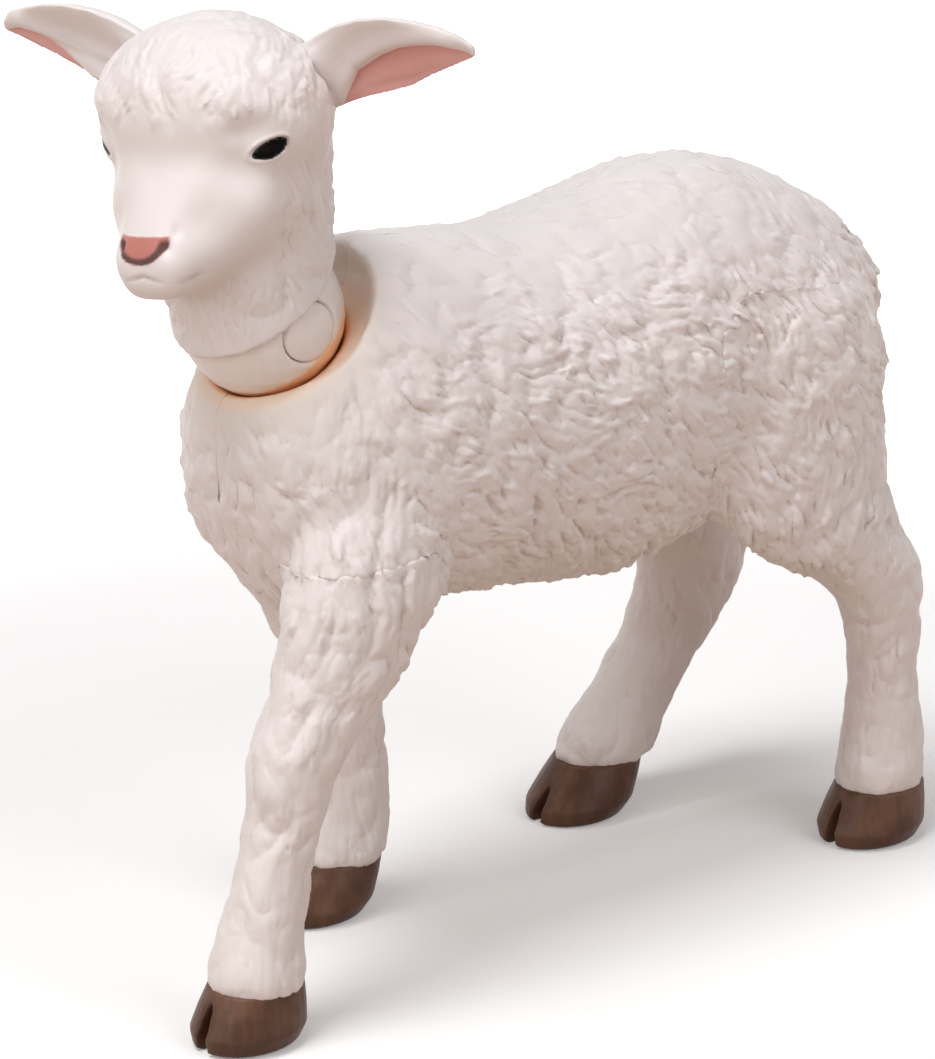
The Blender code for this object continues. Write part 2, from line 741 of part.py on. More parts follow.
def build_ball():
    """The smooth ball under the neck, slotted for the post, with the stem that the head turns on."""
    ball = sphere("neck_ball", BALL_RADIUS, BALL_CENTRE, segments=28)
    stem = cylinder(
        "stem",
        STEM_RADIUS,
        BALL_RADIUS + STEM_LENGTH,
        BALL_CENTRE + NECK_AXIS * (BALL_RADIUS + STEM_LENGTH) / 2,
        NECK_AXIS,
    )
    bead = cylinder(
        "bead",
        BEAD_RADIUS,
        BEAD_HEIGHT,
        BALL_CENTRE + NECK_AXIS * (BALL_RADIUS + STEM_LENGTH - BEAD_HEIGHT / 2),
        NECK_AXIS,
    )
    join(ball, stem, bead)
    half = EYE_WIDTH / 2 + SLOT_CLEARANCE
    room = cylinder("eye_room", EYE_RADIUS + 2 * SLOT_CLEARANCE, 2 * half, BALL_CENTRE, ACROSS)
    fan = swing_block(
        "post_room", half, BALL_RADIUS + OVERRUN, POST_RADIUS + SLOT_CLEARANCE, -NOD_DOWN, NOD_BACK
    )
    bore = cylinder(
        "pin_bore", CROSS_PIN_RADIUS + FIT_CLEARANCE, 4 * BALL_RADIUS, BALL_CENTRE, ACROSS
    )
    inner = BALL_RADIUS - CROSS_PIN_HEAD_DEPTH - FIT_CLEARANCE
    counterbore = cylinder(
        "counterbore",
        CROSS_PIN_HEAD_RADIUS + FIT_CLEARANCE,
        BALL_RADIUS,
        BALL_CENTRE + ACROSS * (inner + BALL_RADIUS / 2),
        ACROSS,
    )
    cut(ball, room, fan, bore, counterbore)
    for used in (stem, bead, room, fan, bore, counterbore):
        bpy.data.objects.remove(used, do_unlink=True)
    return ball


def build_pin():
    """The cross pin, with a domed head flush with the ball on the left."""
    end = BALL_RADIUS - CROSS_PIN_HEAD_DEPTH / 2
    pin = cylinder("neck_pin", CROSS_PIN_RADIUS, 2 * end, BALL_CENTRE, ACROSS)
    head = cylinder(
        "pin_head",
        CROSS_PIN_HEAD_RADIUS,
        2 * CROSS_PIN_HEAD_DEPTH,
        BALL_CENTRE + ACROSS * BALL_RADIUS,
        ACROSS,
    )
    join(pin, head)
    dome = sphere("dome", BALL_RADIUS, BALL_CENTRE, segments=32)
    boolean(pin, dome, "INTERSECT")
    for used in (head, dome):
        bpy.data.objects.remove(used, do_unlink=True)
    return pin


def turned_head(data):
    """Sets mesh data, modelled about the ball's centre, in place on the body."""
    data.transform(Matrix.Translation(BALL_CENTRE) @ Matrix.Rotation(HEAD_TURN, 4, NECK_AXIS))


def build_head():
    """Neck, skull and face in one moulding, hollowed below for the ball and its stem."""
    rows = []
    for up, forward, wide, deep in NECK_SECTION_SHARES:
        rows.append(
            level_ring(
                0, -forward * SKULL_RISE, up * SKULL_RISE, wide * NECK_RADIUS, deep * NECK_RADIUS
            )
        )
    neck = loft("neck_form", rows)
    skull = sphere(
        "skull_form",
        SKULL_WIDTH / 2,
        Vector((0, -SKULL_FORWARD, SKULL_RISE)),
        scale=(1, SKULL_LENGTH / SKULL_WIDTH, SKULL_HEIGHT / SKULL_WIDTH),
    )
    rings = []
    for forward, up, wide, tall in FACE_SECTION_SHARES:
        middle = up * SKULL_RISE
        half = tall * SKULL_HEIGHT / 2
        rings.append(
            upright_ring(
                -forward * FACE_LENGTH,
                middle - half,
                middle + half,
                middle,
                wide * SKULL_WIDTH / 2,
                FACE_ROUNDNESS,
            )
        )
    face = loft("face_form", rings)
    head = fuse("head", [neck, skull, face], HEAD_TRIANGLES, HEAD_SMOOTHING)
    sockets = [ear_peg(sign, EAR_PEG_RADIUS + FIT_CLEARANCE, FIT_CLEARANCE) for sign in (1, -1)]
    ears = [ear_form(sign, FIT_CLEARANCE) for sign in (1, -1)]
    cut(head, *sockets, *ears)
    turned_head(head.data)
    seat = sphere("ball_seat", BALL_RADIUS + FIT_CLEARANCE, BALL_CENTRE, segments=28)
    below = cylinder(
        "below_skirt",
        4 * BALL_RADIUS,
        4 * BALL_RADIUS,
        BALL_CENTRE + NECK_AXIS * (SKIRT_HEIGHT - 2 * BALL_RADIUS),
        NECK_AXIS,
    )
    reach = BALL_RADIUS + STEM_LENGTH + FIT_CLEARANCE
    bore = cylinder(
        "stem_bore", STEM_RADIUS + FIT_CLEARANCE, reach, BALL_CENTRE + NECK_AXIS * reach / 2, NECK_AXIS
    )
    groove = cylinder(
        "bead_groove",
        BEAD_RADIUS + FIT_CLEARANCE,
        BEAD_HEIGHT + 2 * FIT_CLEARANCE,
        BALL_CENTRE + NECK_AXIS * (BALL_RADIUS + STEM_LENGTH - BEAD_HEIGHT / 2),
        NECK_AXIS,
    )
    cut(head, below, seat, bore, groove)
    for used in (seat, below, bore, groove, *sockets, *ears):
        bpy.data.objects.remove(used, do_unlink=True)
    return head


def ear_frame(sign):
    """The ear's root, its direction, the way that its hollow opens and the way down across it."""
    root = Vector((sign * EAR_ROOT_X, EAR_ROOT_Y, EAR_ROOT_Z))
    rise = EAR_LEFT_RISE if sign > 0 else EAR_RIGHT_RISE
    along = Vector((sign * EAR_LENGTH, EAR_SWEEP, rise)).normalized()
    opening = Vector((0, -math.cos(EAR_DROOP), -math.sin(EAR_DROOP)))
    opening = (opening - along * opening.dot(along)).normalized()
    return root, along, opening, along.cross(opening) * sign


def ear_peg(sign, radius, extra=0):
    """A peg from the ear's stalk into the skull."""
    root, along, _, down = ear_frame(sign)
    length = EAR_PEG_LENGTH + EAR_PEG_HOLD + extra
    middle = root + down * EAR_PEG_DROP + along * (EAR_PEG_HOLD - length / 2)
    return cylinder("ear_peg", radius, length, middle, along, segments=16)


def ear_form(sign, extra=0):
    """A leaf that is curled across and rolled over at its upper edge, on a closed stalk."""
    root, along, opening, down = ear_frame(sign)
    steps = 12
    half = EAR_WIDTH / 2
    rings = []
    for row, (place, drop, wide, bulge, depth) in enumerate(EAR_SECTION_SHARES):
        start = extra if row == 0 else 0
        centre = root + along * (place * EAR_LENGTH - start) + down * (drop * half)
        hollow_half = wide * half - EAR_THICKNESS / 2 * wide
        roll = EAR_ROLL if depth > 0 else 0
        ring = []
        for i in range(steps + 1):
            angle = math.pi * (i / steps - 0.5)
            side = down * (math.sin(angle) * (wide * half + extra))
            ring.append(centre + side - opening * (math.cos(angle) * (bulge * half + extra)))
        for i in range(1, steps):
            angle = math.pi * (0.5 - i / steps)
            side = down * (math.sin(angle) * hollow_half)
            share = depth + roll * wide * math.sin(angle)
            ring.append(centre + side - opening * (math.cos(angle) * (share * half - extra)))
        rings.append(ring)
    return loft("ear_form", rings)


def build_ear(sign, name):
    ear = ear_form(sign)
    ear.name = name
    peg = ear_peg(sign, EAR_PEG_RADIUS)
    join(ear, peg)
    bpy.data.objects.remove(peg, do_unlink=True)
    turned_head(ear.data)
    return ear


def finish(obj, look, home, carrier, pivot=Vector()):
    """Gives a piece its material, shading, carrier and origin. What the neck carries shares its pivot."""
    obj.data.materials.clear()
    obj.data.materials.append(material(obj.name + "_plastic", *look))
    for owner in list(obj.users_collection):
        owner.objects.unlink(obj)
    home.objects.link(obj)
    obj.data.shade_smooth()
    obj.data.set_sharp_from_angle(angle=SHARP_ANGLE)
    obj.data.transform(Matrix.Translation(-pivot))
    obj.parent = carrier
    if carrier.type == "EMPTY":
        obj.location = pivot


def main():
    clear_scene()
    home = collection("toy_lamb")
    stand = bpy.data.objects.new("stand", None)
    stand.location = (-MIDDLE_X, -MIDDLE_Y, 0)
    home.objects.link(stand)
    pieces = [trunk(), tail(), *(limb(name, LIMBS[name][0]) for name in LIMBS)]
    form = fuse("form", pieces, BODY_TRIANGLES, BODY_SMOOTHING)
    for half_body in build_halves(form):
        finish(half_body, FLEECE_LOOK, home, stand)
    for name in LIMBS:
        finish(build_leg(form, name), FLEECE_LOOK, home, stand)
        finish(build_hoof(name), HOOF_LOOK, home, stand)
    bpy.data.objects.remove(form, do_unlink=True)
    finish(build_post(), JOINT_LOOK, home, stand)
    ball = build_ball()
    finish(ball, JOINT_LOOK, home, stand, BALL_CENTRE)
    finish(build_pin(), JOINT_LOOK, home, ball, BALL_CENTRE)
    head = build_head()
    finish(head, FLEECE_LOOK, home, ball, BALL_CENTRE)
    finish(build_ear(1, "ear_left"), FLEECE_LOOK, home, head, BALL_CENTRE)
    finish(build_ear(-1, "ear_right"), FLEECE_LOOK, home, head, BALL_CENTRE)


main()
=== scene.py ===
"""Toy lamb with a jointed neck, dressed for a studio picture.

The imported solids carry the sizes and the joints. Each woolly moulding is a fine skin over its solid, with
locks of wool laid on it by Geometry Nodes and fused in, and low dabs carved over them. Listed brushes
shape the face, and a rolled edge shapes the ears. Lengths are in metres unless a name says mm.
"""

import json
import logging
import math
from dataclasses import dataclass, field
from enum import Enum

import bmesh
import bpy
import numpy as np
from mathutils import Matrix, Vector
from mathutils.bvhtree import BVHTree
from mathutils.kdtree import KDTree

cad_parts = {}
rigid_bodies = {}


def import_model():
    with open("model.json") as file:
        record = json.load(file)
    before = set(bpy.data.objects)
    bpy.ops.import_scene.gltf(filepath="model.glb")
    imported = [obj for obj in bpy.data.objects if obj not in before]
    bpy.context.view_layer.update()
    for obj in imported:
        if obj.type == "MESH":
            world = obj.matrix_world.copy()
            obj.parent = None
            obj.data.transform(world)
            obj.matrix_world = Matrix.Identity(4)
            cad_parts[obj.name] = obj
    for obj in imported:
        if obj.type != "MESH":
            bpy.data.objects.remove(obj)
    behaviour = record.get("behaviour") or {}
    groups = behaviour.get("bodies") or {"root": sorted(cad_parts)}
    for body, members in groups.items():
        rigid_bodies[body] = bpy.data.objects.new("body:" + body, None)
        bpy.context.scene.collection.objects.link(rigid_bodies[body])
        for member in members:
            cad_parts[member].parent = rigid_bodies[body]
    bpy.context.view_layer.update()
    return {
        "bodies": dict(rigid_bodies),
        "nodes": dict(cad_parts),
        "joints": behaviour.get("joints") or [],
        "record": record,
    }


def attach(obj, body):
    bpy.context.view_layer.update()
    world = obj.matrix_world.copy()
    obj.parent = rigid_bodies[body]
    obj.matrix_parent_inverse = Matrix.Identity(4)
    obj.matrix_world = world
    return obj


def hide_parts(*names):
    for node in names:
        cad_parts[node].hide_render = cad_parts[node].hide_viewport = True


LOG = logging.getLogger("toy_lamb")

Triple = tuple[float, float, float]

MM = 1000  # millimetres to a metre

# The toy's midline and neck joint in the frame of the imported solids
MIDLINE_SHIFT = Vector((0.00260, -0.00360, 0.0))
BALL_MM = (0.0, -17.0, 46.0)
BALL_CENTRE = MIDLINE_SHIFT + Vector((0.0, -0.0170, 0.0460))
NECK_AXIS = Vector((0.0, -0.5, math.sqrt(0.75)))
HEAD_TURN = math.radians(17)
BOWL_AXIS = Vector((0.0, -math.sin(math.radians(40)), math.cos(math.radians(40))))


class Side(Enum):
    """Left and right of the lamb, as the sign of X."""

    LEFT = 1
    RIGHT = -1


class Curl(Enum):
    """Which way a lock of wool waves."""

    LEFT = 1
    RIGHT = -1


class Stem(Enum):
    """The kinds of body moulding: the gap left at a seam, less than 0 for an overlap, and the leg's flare.

    Both are in mm. The flare is how far a leg's end stands out over its hoof.
    """

    BODY = (-0.05, 0.0)
    FORELEG = (-0.16, 0.32)
    HINDLEG = (-0.16, 0.14)

    def node(self, side: Side) -> str:
        """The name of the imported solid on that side."""
        return f"{self.name}_{side.name}".lower()


class Tone:
    """A node's socket that takes part in Python expressions."""

    def __init__(self, graph: "Graph", socket: bpy.types.NodeSocket) -> None:
        """Wraps the socket of a node in the graph."""
        self.graph = graph
        self.socket = socket

    def _math(self, operation: str, other: "Tone | float", swap: bool = False) -> "Tone":
        """Adds a Math node.

        Args:
            operation: the Math node's operation.
            other: the other operand.
            swap: whether the other operand comes first.

        Returns:
            The node's result.
        """
        operands = (other, self) if swap else (self, other)
        return self.graph.add("ShaderNodeMath", {"operation": operation}, dict(enumerate(operands)))

    def __add__(self, other: "Tone | float") -> "Tone":
        """Sum."""
        return self._math("ADD", other)

    def __radd__(self, other: float) -> "Tone":
        """Sum with a number on the left."""
        return self._math("ADD", other, swap=True)

    def __sub__(self, other: "Tone | float") -> "Tone":
        """Difference."""
        return self._math("SUBTRACT", other)

    def __rsub__(self, other: float) -> "Tone":
        """Difference with a number on the left."""
        return self._math("SUBTRACT", other, swap=True)

    def __mul__(self, other: "Tone | float") -> "Tone":
        """Product."""
        return self._math("MULTIPLY", other)

    def __rmul__(self, other: float) -> "Tone":
        """Product with a number on the left."""
        return self._math("MULTIPLY", other, swap=True)

    def most(self, other: "Tone | float") -> "Tone":
        """The larger of the two."""
        return self._math("MAXIMUM", other)

    def rise(self, low: float, high: float) -> "Tone":
        """A smooth step.

        Args:
            low: where the step is 0.
            high: where the step is 1; it may be below low.

        Returns:
            A value from 0 to 1.
        """
        turned = high < low
        ends = (high, low) if turned else (low, high)
        inputs = {"Value": self, "From Min": ends[0], "From Max": ends[1]}
        step = self.graph.add("ShaderNodeMapRange", {"interpolation_type": "SMOOTHSTEP"}, inputs)
        return 1 - step if turned else step


class Graph:
    """A node tree, with the one method that adds nodes to it."""

    def __init__(self, tree: bpy.types.NodeTree) -> None:
        """Takes over a tree and empties it."""
        self.tree = tree
        self.tree.nodes.clear()

    def node(self, kind: str, settings: dict | None = None, inputs: dict | None = None) -> bpy.types.Node:
        """Adds a node.

        Args:
            kind: the node's type.
            settings: its properties, set first.
            inputs: socket name or number to a value, a Tone or a socket.

        Returns:
            The node.
        """
        made = self.tree.nodes.new(kind)
        for key, value in (settings or {}).items():
            setattr(made, key, value)
        for key, value in (inputs or {}).items():
            socket = made.inputs[key]
            if isinstance(value, Tone):
                self.tree.links.new(value.socket, socket)
            elif isinstance(value, bpy.types.NodeSocket):
                self.tree.links.new(value, socket)
            else:
                socket.default_value = value
        return made

    def add(
        self, kind: str, settings: dict | None = None, inputs: dict | None = None, output: str | int = 0
    ) -> Tone:
        """Adds a node and wraps one of its outputs.

        Args:
            kind: the node's type.
            settings: its properties, set first.
            inputs: socket name or number to a value, a Tone or a socket.
            output: the output's name or number.

        Returns:
            The output.
        """
        return Tone(self, self.node(kind, settings, inputs).outputs[output])

    def vector(self, operation: str, inputs: dict, output: str | int = 0) -> Tone:
        """Adds a Vector Math node."""
        return self.add("ShaderNodeVectorMath", {"operation": operation}, inputs, output)

    def mix(self, factor: Tone | float, low: Tone | Triple, high: Tone | Triple) -> Tone:
        """Mixes two colours.

        Args:
            factor: share of the second colour.
            low: the first colour.
            high: the second colour.

        Returns:
            The mixed colour.
        """
        low, high = (colour if isinstance(colour, Tone) else (*colour, 1) for colour in (low, high))
        inputs = {0: factor, 6: low, 7: high}
        return self.add("ShaderNodeMix", {"data_type": "RGBA"}, inputs, output=2)

    def seen(self) -> Tone:
        """Tells what is seen from what only gives light.

        Returns:
            1 for a ray from the camera, also by way of gloss or glass, else 0.
        """
        path = self.node("ShaderNodeLightPath")
        camera, glossy, through = (
            Tone(self, path.outputs[f"Is {ray} Ray"]) for ray in ("Camera", "Glossy", "Transmission")
        )
        return camera.most(glossy).most(through)


@dataclass(frozen=True)
class Tint:
    """A colour that fades in from one value to another, up to a share of the whole."""

    colour: Triple
    start: float
    full: float
    share: float


class Paint(Graph):
    """The nodes of one material."""

    def __init__(self, name: str) -> None:
        """Makes an empty material.

        Args:
            name: its name.
        """
        self.material = bpy.data.materials.new(name)
        self.material.use_nodes = True
        super().__init__(self.material.node_tree)

    def attribute(self, name: str) -> Tone:
        """A number stored on the mesh's points."""
        return self.add("ShaderNodeAttribute", {"attribute_name": name}, output="Fac")

    def place(self) -> Tone:
        """The point's place in object coordinates."""
        return self.add("ShaderNodeTexCoord", output="Object")

    def noise(self, scale: float, detail: float = 3.0, at: Tone | None = None) -> Tone:
        """Smooth noise.

        Args:
            scale: spots to the metre.
            detail: number of finer layers.
            at: the place to read it, or None for object coordinates.

        Returns:
            A value about 0.5.
        """
        inputs = {"Vector": at or self.place(), "Scale": scale, "Detail": detail}
        return self.add("ShaderNodeTexNoise", None, inputs, output="Fac")

    def tinted(self, colour: Tone | Triple, where: Tone, *tints: Tint) -> Tone:
        """Lays tints over a colour.

        Args:
            colour: the colour below.
            where: the value that the tints fade in over.
            tints: the tints, the lowest first.

        Returns:
            The tinted colour.
        """
        for tint in tints:
            colour = self.mix(where.rise(tint.start, tint.full) * tint.share, colour, tint.colour)
        return colour

    def bump(self, strength: float, depth: float, height: Tone) -> Tone:
        """The normal of a relief whose height runs from 0 to 1 over that depth."""
        return self.add("ShaderNodeBump", None, {"Strength": strength, "Distance": depth, "Height": height})

    def finish(self, shader_inputs: dict) -> bpy.types.Material:
        """Ends the material with a Principled shader.

        Args:
            shader_inputs: the shader's sockets and their values.

        Returns:
            The material.
        """
        shader = self.node("ShaderNodeBsdfPrincipled", None, shader_inputs)
        self.node("ShaderNodeOutputMaterial", None, {"Surface": shader.outputs[0]})
        return self.material


@dataclass(frozen=True)
class WoolFinish:
    """Moulded wool in warm white plastic, with painted shade in its folds, creamy round the neck joint, and
    a painted warm glow and painted shade in the neck's bowl.
    """

    name: str
    colour: Triple = (0.85, 0.80, 0.80)
    # Painted shade: the colour laid in the folds, and how much of it
    painted_fold_shade: Triple = (0.60, 0.50, 0.45)
    painted_fold_shade_share: float = 0.9
    roughness: float = 0.44
    specular: float = 0.35
    bump: float = 0.5
    grain_depth: float = 0.00008
    bare_grain: float = 0.2
    # Collar cream; a painted warm glow on the bowl's wall and painted shade with a warm glow in the bowl's
    # depth round the ball, over the distance from the ball's centre in mm
    tints: tuple[Tint, ...] = (
        Tint((0.82, 0.74, 0.66), 8.8, 7.0, 0.5),
        Tint((0.93, 0.74, 0.58), 7.0, 6.1, 0.7),
        Tint((0.94, 0.52, 0.25), 5.85, 5.55, 0.7),
    )

    # Spots of noise to the metre
    CLOUDS = 260.0
    WAVER = 420.0
    GRAIN = 1900.0
    FINE_GRAIN = 5200.0

    def material(self) -> bpy.types.Material:
        """Builds the material.

        Returns:
            The material.
        """
        graph = Paint(self.name)
        colour, height = self.wool(graph)
        inputs = {
            "Base Color": graph.tinted(colour, self.from_ball(graph), *self.tints),
            "Roughness": self.rough(graph),
            "Normal": graph.bump(self.bump, self.grain_depth, height),
            "Specular IOR Level": self.specular,
        }
        return graph.finish(inputs)

    def wool(self, graph: Paint) -> tuple[Tone, Tone]:
        """The wool's colour, with painted shade in its folds, and its fine height.

        Args:
            graph: the material being built.

        Returns:
            Colour and height.
        """
        # Painted shade in the folds, over how far the skin lies below its neighbourhood
        painted_fold_shades = (graph.attribute("cavity") * (0.7 + graph.noise(self.CLOUDS, 3.0) * 0.6)).rise(0.05, 1.0)
        colour = graph.mix(painted_fold_shades * self.painted_fold_shade_share, self.colour, self.painted_fold_shade)
        grain = graph.noise(self.GRAIN, 3.0) * (self.bare_grain + graph.attribute("wool") * 0.6)
        return colour, grain + graph.noise(self.FINE_GRAIN, 2.0) * 0.12

    def rough(self, graph: Paint) -> Tone:
        """The roughness, which wavers a little."""
        return self.roughness + (graph.noise(self.WAVER, 2.0) - 0.5) * 0.16

    @staticmethod
    def from_ball(graph: Paint) -> Tone:
        """Distance from the neck ball's centre, in mm."""
        away = graph.vector("ADD", {0: graph.place(), 1: tuple(-value for value in BALL_CENTRE)})
        return graph.vector("LENGTH", {0: away}, "Value") * MM


@dataclass(frozen=True)
class HeadFinish(WoolFinish):
    """The head's wool with the painted eyes, nose and mouth."""

    # Painted shade in the folds, a little weaker on the head
    painted_fold_shade_share: float = 0.8
    specular: float = 0.3
    bare_grain: float = 0.1
    nose: Triple = (0.56, 0.215, 0.18)
    nose_rim: Triple = (0.10, 0.045, 0.04)
    eye: Triple = (0.003, 0.002, 0.002)
    lid: Triple = (0.34, 0.24, 0.21)
    lid_share: float = 0.85
    mouth_share: float = 0.35
    eye_roughness: float = 0.30

    def material(self) -> bpy.types.Material:
        """Builds the material.

        Returns:
            The material.
        """
        graph = Paint(self.name)
        colour, height = self.wool(graph)
        colour = graph.mix(graph.attribute("lid") * self.lid_share, colour, self.lid)
        colour = graph.mix(graph.attribute("mouth") * self.mouth_share, colour, self.lid)
        colour = graph.mix(graph.attribute("nose"), colour, self.nose)
        colour = graph.mix(graph.attribute("nose_rim"), colour, self.nose_rim)
        eye = graph.attribute("eye").rise(0.35, 0.65)
        beside = 1 - eye
        inputs = {
            "Base Color": graph.mix(eye, colour, self.eye),
            "Roughness": self.rough(graph) * beside + eye * self.eye_roughness,
            "Normal": graph.bump(self.bump, self.grain_depth, height * beside),
            "Specular IOR Level": self.specular,
        }
        return graph.finish(inputs)


@dataclass(frozen=True)
class EyeFinish:
    """Black paint that hardly shines."""

    name: str
    colour: Triple = (0.003, 0.002, 0.002)
    haze: Tint = Tint((0.018, 0.010, 0.008), 0.45, 0.75, 0.5)
    specular: float = 0.03

    CLOUDS = 900.0

    def material(self) -> bpy.types.Material:
        """Builds the material.

        Returns:
            The material.
        """
        graph = Paint(self.name)
        cloud = graph.noise(self.CLOUDS, 2.0)
        colour = graph.tinted(self.colour, cloud, self.haze)
        rough = cloud * 0.2 + 0.15
        return graph.finish({"Base Color": colour, "Roughness": rough, "Specular IOR Level": self.specular})


@dataclass(frozen=True)
class EarFinish(WoolFinish):
    """White ear with a salmon pink hollow."""

    # Painted shade in the folds, a little weaker on the ears
    painted_fold_shade_share: float = 0.8
    bump: float = 0.3
    grain_depth: float = 0.00005
    bare_grain: float = 0.1
    # The hollow's rim and its pink, over the stored share of the hollow
    tints: tuple[Tint, ...] = (
        Tint((0.80, 0.62, 0.62), 0.15, 0.5, 0.6),
        Tint((0.70, 0.32, 0.28), 0.45, 0.75, 0.85),
    )

    RAGGED = 900.0

    def material(self) -> bpy.types.Material:
        """Builds the material.

        Returns:
            The material.
        """
        graph = Paint(self.name)
        colour, height = self.wool(graph)
        hollow = graph.attribute("hollow") + (graph.noise(self.RAGGED, 3.0) - 0.5) * 0.3
        inputs = {
            "Base Color": graph.tinted(colour, hollow, *self.tints),
            "Roughness": self.roughness,
            "Normal": graph.bump(self.bump, self.grain_depth, height),
        }
        return graph.finish(inputs)


@dataclass(frozen=True)
class HoofFinish:
    """Dark brown hoof with paler streaks, darker towards its lower edge."""

    name: str
    dark: Triple = (0.088, 0.040, 0.024)
    pale: Triple = (0.175, 0.092, 0.060)
    # Darker towards the bottom, over the height above the floor in mm
    low_darkening: Tint = Tint((0.088, 0.040, 0.024), 1.2, 0.2, 0.45)
    stretch: Triple = (1, 1, 0.22)
    roughness: float = 0.40
    specular: float = 0.2
    bump: float = 0.35
    streak_depth: float = 0.00006

    STREAKS = 1100.0
    CLOUDS = 330.0

    def material(self) -> bpy.types.Material:
        """Builds the material.

        Returns:
            The material.
        """
        graph = Paint(self.name)
        inputs = {"Vector": graph.place(), "Scale": self.stretch}
        drawn_out = graph.add("ShaderNodeMapping", {"vector_type": "POINT"}, inputs)
        streaks = graph.noise(self.STREAKS, 3.0, drawn_out)
        cloud = graph.noise(self.CLOUDS, 2.0)
        colour = graph.mix((streaks * 0.45 + cloud * 0.65).rise(0.42, 0.78), self.dark, self.pale)
        up_mm = graph.add("ShaderNodeSeparateXYZ", None, {0: graph.place()}, output=2) * MM
        inputs = {
            "Base Color": graph.tinted(colour, up_mm, self.low_darkening),
            "Roughness": self.roughness + (cloud - 0.5) * 0.3,
            "Normal": graph.bump(self.bump, self.streak_depth, streaks),
            "Specular IOR Level": self.specular,
        }
        return graph.finish(inputs)


@dataclass(frozen=True)
class JointFinish:
    """Smooth cream plastic of the neck joint, with fine scuffs, and painted shade with a warm glow where the
    ball goes into the bowl.
    """

    name: str
    colour: Triple = (0.88, 0.82, 0.80)
    # Painted shade on the ball's low part and painted shade with a warm glow on its band of contact, over
    # the height above the bowl's edge in mm
    tints: tuple[Tint, ...] = (
        Tint((0.88, 0.74, 0.64), 1.7, 0.5, 0.6),
        Tint((0.90, 0.48, 0.24), 0.75, 0.15, 0.9),
    )
    roughness: float = 0.38
    bump: float = 0.25
    scuff_depth: float = 0.00003
    bowl_drop: float = 0.0024

    SCUFFS = 1400.0

    def material(self) -> bpy.types.Material:
        """Builds the material.

        Returns:
            The material.
        """
        graph = Paint(self.name)
        scuffs = graph.noise(self.SCUFFS, 4.0)
        above_mm = self.above_bowl(graph) + (scuffs - 0.5) * 0.5
        inputs = {
            "Base Color": graph.tinted(self.colour, above_mm, *self.tints),
            "Roughness": self.roughness + (scuffs - 0.5) * 0.2,
            "Normal": graph.bump(self.bump, self.scuff_depth, scuffs),
        }
        return graph.finish(inputs)

    def above_bowl(self, graph: Paint) -> Tone:
        """Height above the line where the ball goes into the bowl.

        Args:
            graph: the material being built.

        Returns:
            The height in mm.
        """
        edge = tuple(BALL_CENTRE - BOWL_AXIS * self.bowl_drop)
        away = graph.vector("SUBTRACT", {0: graph.place(), 1: edge})
        return graph.vector("DOT_PRODUCT", {0: away, 1: tuple(BOWL_AXIS * MM)}, "Value")


def smoothstep(values: np.ndarray, low: float, high: float) -> np.ndarray:
    """A smooth step from 0 at low to 1 at high, which may be below low."""
    share = np.clip((values - low) / (high - low), 0, 1)
    return share * share * (3 - 2 * share)


def unit(vectors: np.ndarray) -> np.ndarray:
    """Rows brought to length one."""
    return vectors / np.maximum(np.linalg.norm(vectors, axis=1), 1e-9)[:, None]


def along_skin(ways: np.ndarray, normals: np.ndarray) -> np.ndarray:
    """Rows of directions laid along a skin with those normals."""
    return unit(ways - normals * (ways * normals).sum(1)[:, None])


def mirrored(local: np.ndarray) -> np.ndarray:
    """Points brought to the left side."""
    return np.stack([np.abs(local[:, 0]), local[:, 1], local[:, 2]], axis=1)


def toy_local(points: np.ndarray) -> np.ndarray:
    """Points in mm from the toy's middle on the floor."""
    return (points - np.array(MIDLINE_SHIFT)) * MM


def head_local(points: np.ndarray) -> np.ndarray:
    """Points from the ball's centre in mm, with the head's turn undone."""
    turn = np.array(Matrix.Rotation(-HEAD_TURN, 3, NECK_AXIS))
    return (points - np.array(BALL_CENTRE)) @ turn.T * MM


def head_way(vectors: np.ndarray) -> np.ndarray:
    """Directions in the head's own place, turned with the head."""
    return vectors @ np.array(Matrix.Rotation(HEAD_TURN, 3, NECK_AXIS)).T


def nearest_rows(points: np.ndarray, places: np.ndarray) -> np.ndarray:
    """Looks up the nearest of some points.

    Args:
        points: the points to choose from.
        places: the places to start from.

    Returns:
        For each place, the number of its nearest point.
    """
    tree = KDTree(len(points))
    for i, point in enumerate(points):
        tree.insert(point, i)
    tree.balance()
    return np.array([tree.find(place)[1] for place in places])


def surface_tree(mesh: bpy.types.Mesh) -> BVHTree:
    """The search tree of a mesh's surface."""
    corners = [tuple(v.co) for v in mesh.vertices]
    return BVHTree.FromPolygons(corners, [tuple(p.vertices) for p in mesh.polygons])


def mesh_of(bm: bmesh.types.BMesh, name: str) -> bpy.types.Mesh:
    """Turns a bmesh into a mesh, and frees it.

    Args:
        bm: the bmesh.
        name: the mesh's name.

    Returns:
        The mesh.
    """
    mesh = bpy.data.meshes.new(name)
    bm.to_mesh(mesh)
    bm.free()
    return mesh


def baked(obj: bpy.types.Object) -> bpy.types.Mesh:
    """Takes the modifiers off an object.

    Args:
        obj: the object.

    Returns:
        The mesh that the modifiers made.
    """
    graph = bpy.context.evaluated_depsgraph_get()
    graph.update()
    mesh = bpy.data.meshes.new_from_object(obj.evaluated_get(graph))
    obj.modifiers.clear()
    return mesh


def in_scene(name: str, data: bpy.types.ID) -> bpy.types.Object:
    """Puts a mesh, a light or a camera in the scene.

    Args:
        name: the object's name.
        data: the mesh, light or camera.

    Returns:
        The object.
    """
    obj = bpy.data.objects.new(name, data)
    bpy.context.scene.collection.objects.link(obj)
    return obj


@dataclass(frozen=True)
class Layer:
    """One size of carved dabs: their width, their length in steps, their height and their roundness."""

    size_mm: float
    far: int
    amount_mm: np.ndarray
    power: float = 0.75


